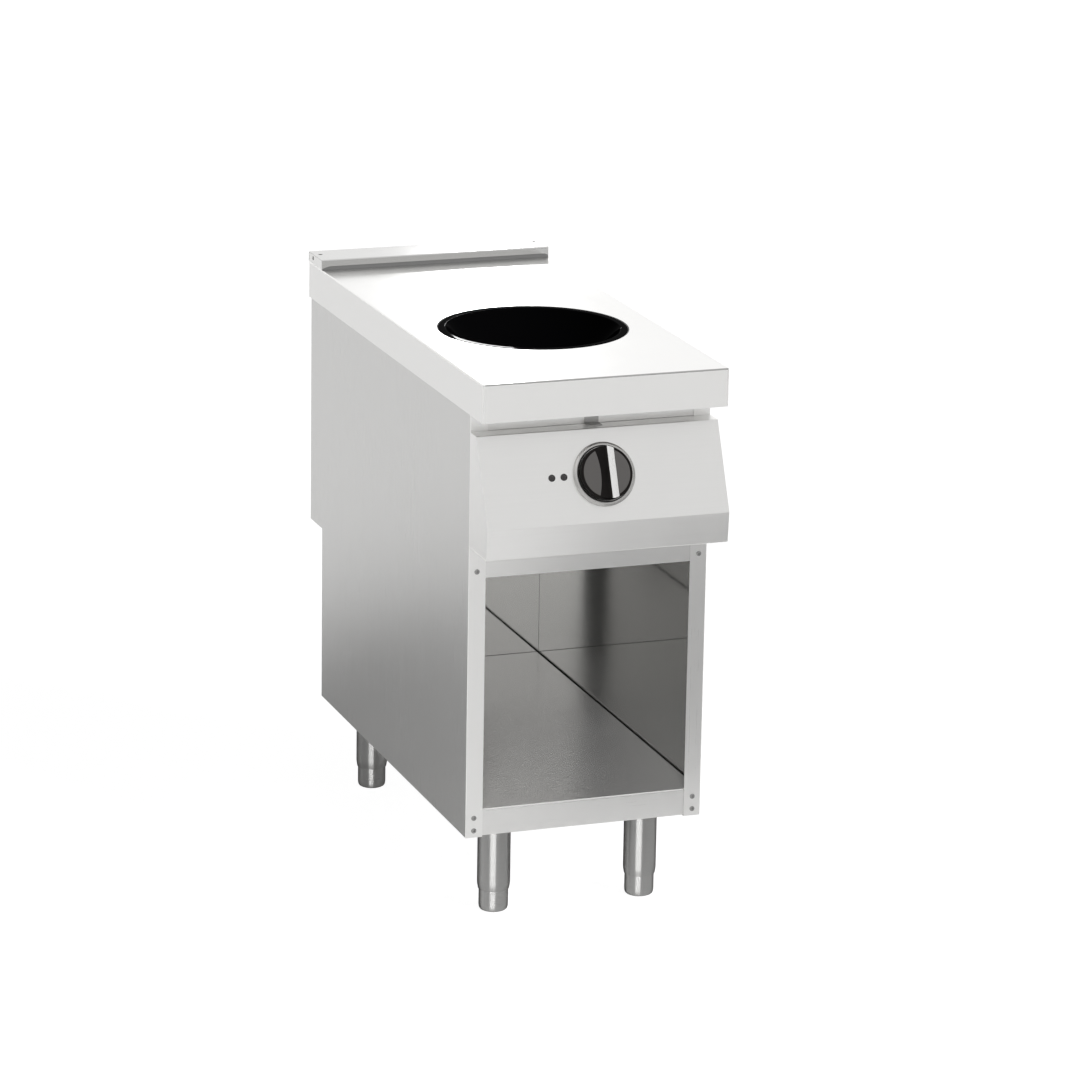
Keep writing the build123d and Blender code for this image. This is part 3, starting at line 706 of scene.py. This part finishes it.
def dish_line(sphere, height):
    """Points of the dish's arc from its middle up to a height, as (radius, height)."""
    end = acos((dish_middle - height) / sphere)
    turns = [end * step / DISH_STEPS for step in range(DISH_STEPS + 1)]
    return [(sphere * sin(turn), dish_middle - sphere * cos(turn)) for turn in turns]


def glass_bowl():
    inside = dish_line(dish_sphere, 0)
    rim = rounded([inside[-RIM_POINTS], (dish_radius, 0), (BOWL_RADIUS, 0), (BOWL_RADIUS, -GLASS)],
                  RIM_ROUND)
    outside = dish_line(dish_sphere + GLASS, -GLASS)[::-1]
    data = turned_mesh(inside[:-RIM_POINTS] + rim + outside, bowl_place, BOWL_SIDES)
    new_piece("glass_bowl", data, black_glass, "range", ["wok_bowl"])


def seal_bead():
    inner, outer = BOWL_RADIUS, BOWL_RADIUS + SEAL
    profile = [(inner, -GLASS), (inner, -SEAL_EDGE), ((inner + outer) / 2, -SEAL_MIDDLE),
               (outer, -SEAL_EDGE), (outer, -GLASS)]
    data = turned_mesh(profile, bowl_place, BOWL_SIDES)
    new_piece("seal_bead", data, black_seal, "range", ["bowl_seal"])


glass_bowl()
seal_bead()

# ---- knob, bezel and lamps, their heights taken from the panel's face ----
KNOB_RADIUS = 41.6
KNOB_UNDER, KNOB_FACE = 6.5, 16.0  # heights of its underside and of its rim
KNOB_SIDES = 128
KNOB_RIM, KNOB_RIM_FOOT = 3.2, 3.8  # width of the raised rim at its top and at its foot
KNOB_SUNK = 0.8  # how far the knob's middle lies below its rim
KNOB_FLAT, KNOB_UNDER_FLAT = 8, 6  # how far in its flats are drawn, short of the middle
KNOB_ROUND = 1.4
FACE_RADIUS = KNOB_RADIUS - 4.0
FACE_FLAT = 1  # the same for the face plate
FACE_UNDER, FACE_EDGE, FACE_TOP = 0.9, 0.15, 0.05  # the face plate's heights, below the rim
FACE_ROUND = 0.2
BEZEL_RADIUS = 50.0
BEZEL_HEIGHT = 6.0
BEZEL_FOOT, BEZEL_WALL = 1.2, 3.6  # heights between which its outer edge is upright
BEZEL_SLOPE = 3.4  # width of its broken outer edge
BEZEL_STEP = 0.9  # depth of the step round the knob
STEP_TOP, STEP_FOOT = 2.6, 1.4  # how far outside the knob's edge that step lies
BEZEL_FLAT = 3  # the same for the bezel, in from the knob's edge
BEZEL_ROUND = 0.9
RIDGE_HALF = 16.0  # half the ridge's width at its foot
RIDGE_CREST = 3.0  # its width at the top
RIDGE_HOLLOW = 1.1  # how far its flanks are hollowed, seen from its end
RIDGE_WAIST = 6.0  # how far its left flank is hollowed halfway along
RIDGE_TOP = 24.5  # height of its crest
RIDGE_LENGTH = KNOB_RADIUS - 1.5  # from the middle to either end
RIDGE_SUNK = 1.0  # how far its foot reaches into the knob
RIDGE_STEPS = 8
RIDGE_SLICES = 24
WIDEST = 0.99  # greatest half width that shapes the ends, as a share of their circle
INLAY = 1.2  # thickness of the bright strip
INLAY_FOOT = 0.6  # its lower edge above the knob's rim
INLAY_OUT, INLAY_UP = 0.35, 0.15  # how far it stands out of the flank, sideways and upwards
INLAY_DROP = 0.5  # how much lower its back lies
INLAY_LONGER = 0.3  # than the ridge, at either end
joints = frame["record"]["behaviour"]["joints"]
hinge = next(joint for joint in joints if joint["name"] == "knob_turn")
knob_out = -Vector(hinge["axis"])
knob_up = knob_out.cross(Vector((1, 0, 0)))
knob_place = axes_at(hinge["pos_m"], (1, 0, 0), knob_up, knob_out)

bezel_metal = turned_metal("bezel_metal", 0.55, 0.26, knob_place, (1.0, 0.985, 0.96), 0.10)
knob_face_metal = turned_metal("knob_face", 0.16, 0.34, knob_place, (1.0, 0.96, 0.93), 0.16,
                               fineness=2200.0)


def knob_bezel():
    """A spun ring with a broken outer edge and a shallow step round the knob."""
    step = BEZEL_HEIGHT - BEZEL_STEP
    profile = [(0, 0), (BEZEL_RADIUS, 0), *rounded(
        [(BEZEL_RADIUS, BEZEL_FOOT), (BEZEL_RADIUS, BEZEL_WALL),
         (BEZEL_RADIUS - BEZEL_SLOPE, BEZEL_HEIGHT), (KNOB_RADIUS + STEP_TOP, BEZEL_HEIGHT),
         (KNOB_RADIUS + STEP_FOOT, step), (KNOB_RADIUS - BEZEL_FLAT, step)], BEZEL_ROUND),
        (0, step)]
    data = turned_mesh(profile, knob_place, KNOB_SIDES)
    new_piece("bezel_ring", data, bezel_metal, "range", ["knob_bezel"])


def flank_heights(low):
    return [low + (RIDGE_TOP - low) * k / RIDGE_STEPS for k in range(RIDGE_STEPS + 1)]


def ridge_half_width(height):
    """Half the ridge's width at a height, with its flanks hollowed a little."""
    part = (height - KNOB_FACE) / (RIDGE_TOP - KNOB_FACE)
    straight = RIDGE_HALF + (RIDGE_CREST / 2 - RIDGE_HALF) * part
    return straight - RIDGE_HOLLOW * sin(pi * part)


def ridge_section():
    """The ridge's outline, from its left foot over its crest to its right foot."""
    flank = [(ridge_half_width(height), height) for height in flank_heights(KNOB_FACE)]
    foot = (flank[0][0], KNOB_FACE - RIDGE_SUNK)
    right = [foot, *flank]
    return [(-x, height) for x, height in right] + right[::-1]


def round_ended(section, reach, waist=0.0):
    """A section run along the knob's Y axis whose ends follow a circle about its Z axis.
    Halfway along, its left-hand foot is drawn in by waist."""
    data = bmesh.new()
    radius, waist = reach * MM, waist * MM
    rows = []
    for k in range(RIDGE_SLICES + 1):
        part = -1 + 2 * k / RIDGE_SLICES
        row = []
        for x, z in in_metres(section):
            y = part * (radius**2 - min(abs(x), radius * WIDEST) ** 2) ** 0.5
            drawn_in = waist * (1 - part**2) * max(0.0, -x / (RIDGE_HALF * MM))
            row.append(data.verts.new(knob_place @ Vector((x + drawn_in, y, z))))
        rows.append(row)
    skin(data, rows)
    return data


def knob():
    middle = KNOB_FACE - KNOB_SUNK
    skirt = [(0, KNOB_UNDER), *rounded(
        [(KNOB_RADIUS - KNOB_UNDER_FLAT, KNOB_UNDER), (KNOB_RADIUS, KNOB_UNDER),
         (KNOB_RADIUS, KNOB_FACE), (KNOB_RADIUS - KNOB_RIM, KNOB_FACE),
         (KNOB_RADIUS - KNOB_RIM_FOOT, middle), (KNOB_RADIUS - KNOB_FLAT, middle)], KNOB_ROUND),
        (0, middle)]
    data = turned_mesh(skirt, knob_place, KNOB_SIDES)
    new_piece("knob_skirt", data, knob_plastic, "control_knob", ["knob_body"])
    under, edge, top = [KNOB_FACE - depth for depth in (FACE_UNDER, FACE_EDGE, FACE_TOP)]
    plate = [(0, under), *rounded(
        [(FACE_RADIUS - FACE_FLAT, under), (FACE_RADIUS, under), (FACE_RADIUS, edge),
         (FACE_RADIUS - FACE_FLAT, top)], FACE_ROUND), (0, top)]
    data = turned_mesh(plate, knob_place, KNOB_SIDES)
    new_piece("knob_face_plate", data, knob_face_metal, "control_knob")
    data = round_ended(ridge_section(), RIDGE_LENGTH, RIDGE_WAIST)
    new_piece("knob_ridge", data, knob_plastic, "control_knob",
              bevel=BROKEN_EDGE)


def bright_strip():
    """The polished strip let into the ridge's right-hand flank."""
    line = [(ridge_half_width(height) + INLAY_OUT, height + INLAY_UP)
            for height in flank_heights(KNOB_FACE + INLAY_FOOT)]
    back = [(x - INLAY, z - INLAY_DROP) for x, z in line[::-1]]
    section = [(x, min(z, RIDGE_TOP)) for x, z in line] + back
    data = round_ended(section, RIDGE_LENGTH + INLAY_LONGER)
    new_piece("bright_strip", data, inlay_metal, "control_knob", ["knob_inlay"],
              bevel=FINE_EDGE)


knob_bezel()
knob()
bright_strip()

LENS_RADIUS = 5.5
LENS_FOOT = 0.3
LENS_DOME = ((0.0, 1.0), (0.9, 1.1), (2.2, 1.75))  # how far in from its edge, how high
LENS_RISE = 2.0
LENS_ROUND = 0.8
for node, name in (("power_lamp", "power_lens"), ("heat_lamp", "heat_lens")):
    low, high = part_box(node)
    across = (low.x + high.x) / 2
    place = knob_place @ Matrix.Translation((across, 0, 0))
    dome = [(LENS_RADIUS - inwards, height) for inwards, height in LENS_DOME]
    lens = [(0, 0), (LENS_RADIUS, 0), *rounded(
        [(LENS_RADIUS, LENS_FOOT), *dome, (0, LENS_RISE)], LENS_ROUND)]
    data = turned_mesh(lens, place, sides=48)
    new_piece(name, data, lamp_lens, "range", [node])

# ---- feet ----
SLEEVE_RADIUS = 26.25
SLEEVE_BORE = 23.95
SLEEVE_LOW = 36.0
SLEEVE_LIP = 0.4  # height at which the bore begins to round off
LIP_INNER, LIP_OUTER = 0.05, 0.75  # how far outside the bore the lower edge lies
TAPER = 8.0  # height of the drawn-in part
TAPER_NARROWER = 0.3
TAPER_START, TAPER_END = 1, 3  # its bend reaches so far below and above that height
SLEEVE_ROUND = 1.5
CUP_RADIUS = SLEEVE_BORE - 0.5
CUP_BOTTOM = ((6.5, 0), (1.2, 2.2), (0.0, 7.5))  # how far in from its side, how high
CUP_EDGE_IN, CUP_EDGE_DOWN = 1, 2  # its broken top edge
CUP_ROUND = 3.0
FOOT_SIDES = 72
sleeve_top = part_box("foot_sleeves")[1].z / MM
FEET = ("front_left", "front_right", "rear_left", "rear_right")


def foot_place(corner):
    low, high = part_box("foot_insert_" + corner)
    centre = (low + high) / 2
    return Matrix.Translation((centre.x, centre.y, 0))


def foot_sleeves():
    """Four spun tubes, drawn in at their lower ends."""
    data = bmesh.new()
    profile = [(SLEEVE_BORE, sleeve_top), (SLEEVE_BORE, SLEEVE_LOW + SLEEVE_LIP), *rounded(
        [(SLEEVE_BORE + LIP_INNER, SLEEVE_LOW), (SLEEVE_BORE + LIP_OUTER, SLEEVE_LOW),
         (SLEEVE_RADIUS - TAPER_NARROWER, SLEEVE_LOW + TAPER - TAPER_START),
         (SLEEVE_RADIUS, SLEEVE_LOW + TAPER + TAPER_END), (SLEEVE_RADIUS, sleeve_top)],
        SLEEVE_ROUND)]
    for corner in FEET:
        mesh = meshed("one", turned_mesh(profile, foot_place(corner), FOOT_SIDES))
        data.from_mesh(mesh)
        bpy.data.meshes.remove(mesh)
    new_piece("sleeve_tubes", data, foot_steel, "range", ["foot_sleeves"])


def foot_insert(corner):
    """A drawn cup with a rounded bottom and a slightly rounded top."""
    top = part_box("foot_insert_" + corner)[1].z / MM
    bottom = [(CUP_RADIUS - inwards, height) for inwards, height in CUP_BOTTOM]
    edge = [(CUP_RADIUS, top - CUP_EDGE_DOWN), (CUP_RADIUS - CUP_EDGE_IN, top)]
    profile = [(0, 0), *rounded(bottom + edge, CUP_ROUND), (0, top)]
    data = turned_mesh(profile, foot_place(corner), FOOT_SIDES)
    new_piece("foot_cup_" + corner, data, insert_steel, "foot_" + corner,
              ["foot_insert_" + corner])


foot_sleeves()
for corner in FEET:
    foot_insert(corner)

# ---- screws, set out by Geometry Nodes ----
SCREW_RADIUS = 4.2
SCREW_HEIGHT = 2.2
SCREW_SUNK = 0.2
SCREW_EDGE = 0.5  # height of its upright edge
SCREW_SHOULDER, SHOULDER_HEIGHT = 0.9, 1.7  # how far in from its edge, how high
SCREW_FLAT = 0.45  # radius of its flat top, as a share of its own
SCREW_ROUND = 0.5
SLOT_HALF, SLOT_REACH = 0.45, 2.1  # half the width and half the length of its slots
SLOT_FLOOR, SLOT_ABOVE = 0.9, 4  # from the slot's floor to above the head
RAIL_SCREWS = [(side * 182.8, 65.7, height)
               for side in (-1, 1) for height in (160.4, 181.0, 581.0)]
COVER_SCREWS = [(side * 182.0, 897.5, height)
                for side in (-1, 1) for height in (465.0, 640.0, 815.0)]


def screw_head():
    """The mesh of a low pan head with a cross recess, its seat on the local XY plane."""
    profile = [(0, -SCREW_SUNK), *rounded(
        [(SCREW_RADIUS, -SCREW_SUNK), (SCREW_RADIUS, SCREW_EDGE),
         (SCREW_RADIUS - SCREW_SHOULDER, SHOULDER_HEIGHT),
         (SCREW_RADIUS * SCREW_FLAT, SCREW_HEIGHT)], SCREW_ROUND, steps=4), (0, SCREW_HEIGHT)]
    head = meshed("screw_head", turned_mesh(profile, Matrix.Identity(4), sides=32))
    head.shade_smooth()
    section = in_metres([(-SLOT_HALF, SLOT_FLOOR), (SLOT_HALF, SLOT_FLOOR),
                         (SLOT_HALF, SLOT_ABOVE), (-SLOT_HALF, SLOT_ABOVE)])
    cross = bmesh.new()
    for turn in (0, pi / 2):
        place = Matrix.Rotation(turn, 4, "Z")
        skin(cross, [[cross.verts.new(place @ Vector((x, y, z))) for x, z in section]
                     for y in (-SLOT_REACH * MM, SLOT_REACH * MM)])
    bmesh.ops.recalc_face_normals(cross, faces=cross.faces)
    holder = in_scene("screw_head", head)
    tool = in_scene("recess", meshed("recess", cross))
    cut = holder.modifiers.new("Recess", "BOOLEAN")
    cut.object = tool
    cut.operation = "DIFFERENCE"
    cut.solver = "EXACT"
    cut.use_self = True
    finished = carried_out(holder)
    for spare in (holder, tool):
        bpy.data.objects.remove(spare)
    finished.shade_smooth()
    finished.set_sharp_from_angle(angle=SMOOTH_BELOW)
    return finished


def instancing_tree(material):
    """Puts one object on every point, tips it to face a direction, spins it at random about
    that direction and scales it."""
    tree, given, result = tree_group(
        "Set screws",
        [("Geometry", "Geometry"), ("Head", "Object"), ("Facing", "Vector"), ("Size", "Float"),
         ("Seed", "Int")],
        [("Geometry", "Geometry")],
        "GeometryNodeTree",
    )
    info = tree.nodes.new("GeometryNodeObjectInfo")
    facing = tree.nodes.new("FunctionNodeAlignRotationToVector")
    facing.axis = "Z"
    spin = tree.nodes.new("FunctionNodeRotateRotation")
    spin.rotation_space = "LOCAL"
    turn = tree.nodes.new("FunctionNodeAxisAngleToRotation")
    angle = tree.nodes.new("FunctionNodeRandomValue")
    angle.data_type = "FLOAT"
    angle.inputs[3].default_value = pi / 2  # the greatest angle; the least is 0
    points = tree.nodes.new("GeometryNodeMeshToPoints")
    placed = tree.nodes.new("GeometryNodeInstanceOnPoints")
    real = tree.nodes.new("GeometryNodeRealizeInstances")
    paint = tree.nodes.new("GeometryNodeSetMaterial")
    paint.inputs["Material"].default_value = material
    for source, output, target, socket in (
        (given, "Geometry", points, "Mesh"),
        (points, "Points", placed, "Points"),
        (given, "Head", info, "Object"),
        (info, "Geometry", placed, "Instance"),
        (given, "Facing", facing, "Vector"),
        (given, "Seed", angle, "Seed"),
        (angle, 1, turn, "Angle"),
        (facing, "Rotation", spin, "Rotation"),
        (turn, "Rotation", spin, "Rotate By"),
        (spin, "Rotation", placed, "Rotation"),
        (given, "Size", placed, "Scale"),
        (placed, "Instances", real, "Geometry"),
        (real, "Geometry", paint, "Geometry"),
        (paint, "Geometry", result, "Geometry"),
    ):
        tree.links.new(source.outputs[output], target.inputs[socket])
    return tree


def set_screws(name, places, facing, seed):
    points = bpy.data.meshes.new(name)
    points.from_pydata([at(*place) for place in places], [], [])
    holder = in_scene(name + "_points", points)
    head = in_scene(name + "_head", SCREW_HEAD)
    modifier = holder.modifiers.new("Screws", "NODES")
    modifier.node_group = SET_SCREWS
    values = {"Head": head, "Facing": facing, "Size": 1.0, "Seed": seed}
    for item in SET_SCREWS.interface.items_tree:
        if item.in_out == "INPUT" and item.name in values:
            modifier[item.identifier] = values[item.name]
    mesh = carried_out(holder)
    for spare in (holder, head):
        bpy.data.objects.remove(spare)
    mesh.name = name
    piece = in_scene(name, mesh)
    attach(piece, "range")


SCREW_HEAD = screw_head()
SET_SCREWS = instancing_tree(screw_steel)
set_screws("rail_screws", RAIL_SCREWS, (0, -1, 0), seed=3)
set_screws("cover_screws", COVER_SCREWS, (0, 1, 0), seed=5)

# ---- floor ----
FLOOR_COLOUR = 0.85
FLOOR_WHITE = 1.2
CAMERA_SHARE = 0.8  # how much of the floor's white the camera sees regardless of light
GLOSSY_SHARE = 0.1  # and how much of it metal and glass see
FLOOR_HALF = 40.0


def bare_material(name):
    """A material without a shader, its tree and the socket that takes the surface."""
    material = bpy.data.materials.new(name)
    material.use_nodes = True
    tree = material.node_tree
    tree.nodes.remove(tree.nodes["Principled BSDF"])
    return material, tree, tree.nodes["Material Output"].inputs["Surface"]


def floor_material():
    """A pale floor that the camera sees as almost white, with the shadow made fainter."""
    material, tree, surface = bare_material("studio_floor")
    plain = tree.nodes.new("ShaderNodeBsdfDiffuse")
    plain.inputs["Color"].default_value = colour(FLOOR_COLOUR)
    white = tree.nodes.new("ShaderNodeEmission")
    white.inputs["Strength"].default_value = FLOOR_WHITE
    path = tree.nodes.new("ShaderNodeLightPath")
    share = maths(tree, "ADD", maths(tree, "MULTIPLY", path.outputs["Is Camera Ray"], CAMERA_SHARE),
                  maths(tree, "MULTIPLY", path.outputs["Is Glossy Ray"], GLOSSY_SHARE))
    mix = tree.nodes.new("ShaderNodeMixShader")
    tree.links.new(share, mix.inputs["Fac"])
    tree.links.new(plain.outputs[0], mix.inputs[1])
    tree.links.new(white.outputs[0], mix.inputs[2])
    tree.links.new(mix.outputs[0], surface)
    return material


floor_data = bmesh.new()
bmesh.ops.create_grid(floor_data, x_segments=8, y_segments=8, size=FLOOR_HALF)
floor_mesh = meshed("studio_floor", floor_data)
floor_mesh.materials.append(floor_material())
floor = in_scene("studio_floor", floor_mesh)

# ---- light ----
WORLD_LIGHT = 0.22  # on diffuse surfaces; the rest is what reflections see
FRONT_LOW, FRONT_HIGH, BEHIND = 0.57, 0.85, 1.0
SIDES = 0.6  # dims the front towards either side
FRONT_LEFT = 1.38  # brightens its left part


def studio_world():
    """White to the camera; in reflections, bright behind and above, dimmer low in front."""
    world = bpy.data.worlds.new("studio")
    bpy.context.scene.world = world
    world.use_nodes = True
    tree = world.node_tree
    background = tree.nodes["Background"]
    background.inputs["Color"].default_value = colour(1)
    path = tree.nodes.new("ShaderNodeLightPath")
    direction = tree.nodes.new("ShaderNodeSeparateXYZ")
    tree.links.new(tree.nodes.new("ShaderNodeTexCoord").outputs["Generated"], direction.inputs[0])
    height = spread(tree, direction.outputs["Z"], FRONT_LOW, FRONT_HIGH, start=0.1, end=0.7)
    behind = spread(tree, direction.outputs["Y"], 0.0, 1.0, start=-0.2, end=0.3)
    sideways = maths(tree, "ABSOLUTE", direction.outputs["X"])
    dimming = spread(tree, sideways, 1.0, SIDES, start=0.55, end=0.85)
    left = spread(tree, direction.outputs["X"], FRONT_LEFT, 1.0, start=-0.3, end=-0.1)
    in_front = maths(tree, "MULTIPLY", maths(tree, "MULTIPLY", height, dimming), left)
    around = mixed_value(tree, behind, in_front, BEHIND)
    shiny = mixed_value(tree, path.outputs["Is Glossy Ray"], WORLD_LIGHT, around)
    clear = maths(tree, "MAXIMUM", path.outputs["Is Camera Ray"],
                  path.outputs["Is Transmission Ray"])
    seen = mixed_value(tree, clear, shiny, 1.0)
    tree.links.new(seen, background.inputs["Strength"])


def aimed_lamp(name, kind, place, target, strength, in_reflections):
    """A lamp that shows in reflections alone, or one that lights matt surfaces alone."""
    light = bpy.data.lights.new(name, kind)
    light.energy = strength
    lamp = in_scene(name, light)
    lamp.location = place
    lamp.rotation_euler = (Vector(target) - Vector(place)).to_track_quat("-Z", "Y").to_euler()
    lamp.visible_glossy = in_reflections
    lamp.visible_diffuse = not in_reflections
    return lamp


def softbox(name, place, target, size, watts, in_reflections=True):
    lamp = aimed_lamp(name, "AREA", place, target, watts, in_reflections)
    lamp.data.shape = "RECTANGLE"
    lamp.data.size, lamp.data.size_y = size
    return lamp


def meant_for(lamp, starts, state="INCLUDE"):
    """Lets a lamp reach only the pieces whose names start so or, excluding, all but those."""
    pieces = bpy.data.collections.new(lamp.name + "_pieces")
    for piece in [each for each in bpy.data.objects if each.name.startswith(starts)]:
        pieces.objects.link(piece)
    for entry in pieces.collection_objects:
        entry.light_linking.link_state = state
    lamp.light_linking.receiver_collection = pieces


def grey_card(name, left, right, y, height, brightness):
    """A card beside the set, upright on the floor, that only reflections see."""
    material, tree, surface = bare_material(name)
    plain = tree.nodes.new("ShaderNodeEmission")
    plain.inputs["Strength"].default_value = brightness
    tree.links.new(plain.outputs[0], surface)
    mesh = bpy.data.meshes.new(name)
    outline = [(left, y, 0), (right, y, 0), (right, y, height), (left, y, height)]
    mesh.from_pydata(outline, [], [range(4)])
    mesh.materials.append(material)
    card = in_scene(name, mesh)
    card.visible_camera = card.visible_diffuse = card.visible_shadow = False
    card.visible_transmission = False


studio_world()
key = aimed_lamp("key", "SUN", place=(3.7, -4.73, 3.9), target=(0, 0, 0), strength=3.74,
                 in_reflections=False)
key.data.angle = radians(24)
meant_for(key, "base_floor", "EXCLUDE")  # it would throw a hard-edged patch on the bay's floor
bay_light = softbox("bay_light", place=(-1.0, -3.4, 2.6), target=(0.05, -0.15, 0.2),
                    size=(1.5, 1.5), watts=125, in_reflections=False)
meant_for(bay_light, "base_floor")
strip_light = softbox("strip_light", place=(-1.82, -4.0, 0.32), target=(0, -0.3, 0.2),
                      size=(2.9, 0.5), watts=100)
meant_for(strip_light, ("sleeve_tubes", "foot_cup"))
softbox("glint", place=(0.9925, 3.0, 1.687), target=(-0.1, -0.16, 0.893), size=(0.136, 0.057),
        watts=3.4)
grey_card("right_card", left=0.12, right=1.6, y=-0.92, height=0.5, brightness=0.42)

# ---- camera, as it was fitted to the photograph ----
CAMERA_PLACE = (-2.46769, -6.971855, 2.60705)
YAW = 0.34686188
PITCH = 0.27528936
ROLL = 0.01693188
FOCAL_PIXELS = 4735.8
FRAME_PIXELS = 1080

camera_data = bpy.data.cameras.new("camera")
camera_data.lens = FOCAL_PIXELS * camera_data.sensor_width / FRAME_PIXELS
camera_data.clip_end = 200
level_ahead = Vector((sin(YAW), cos(YAW), 0))
level_right = Vector((cos(YAW), -sin(YAW), 0))
ahead = level_ahead * cos(PITCH) - Vector((0, 0, 1)) * sin(PITCH)
upwards = Vector((0, 0, 1)) * cos(PITCH) + level_ahead * sin(PITCH)
right = level_right * cos(ROLL) + upwards * sin(ROLL)
above = upwards * cos(ROLL) - level_right * sin(ROLL)
camera = in_scene("camera", camera_data)
camera.matrix_world = axes_at(CAMERA_PLACE, right, above, -ahead)
bpy.context.scene.camera = camera
bpy.context.scene.view_settings.view_transform = "Standard"
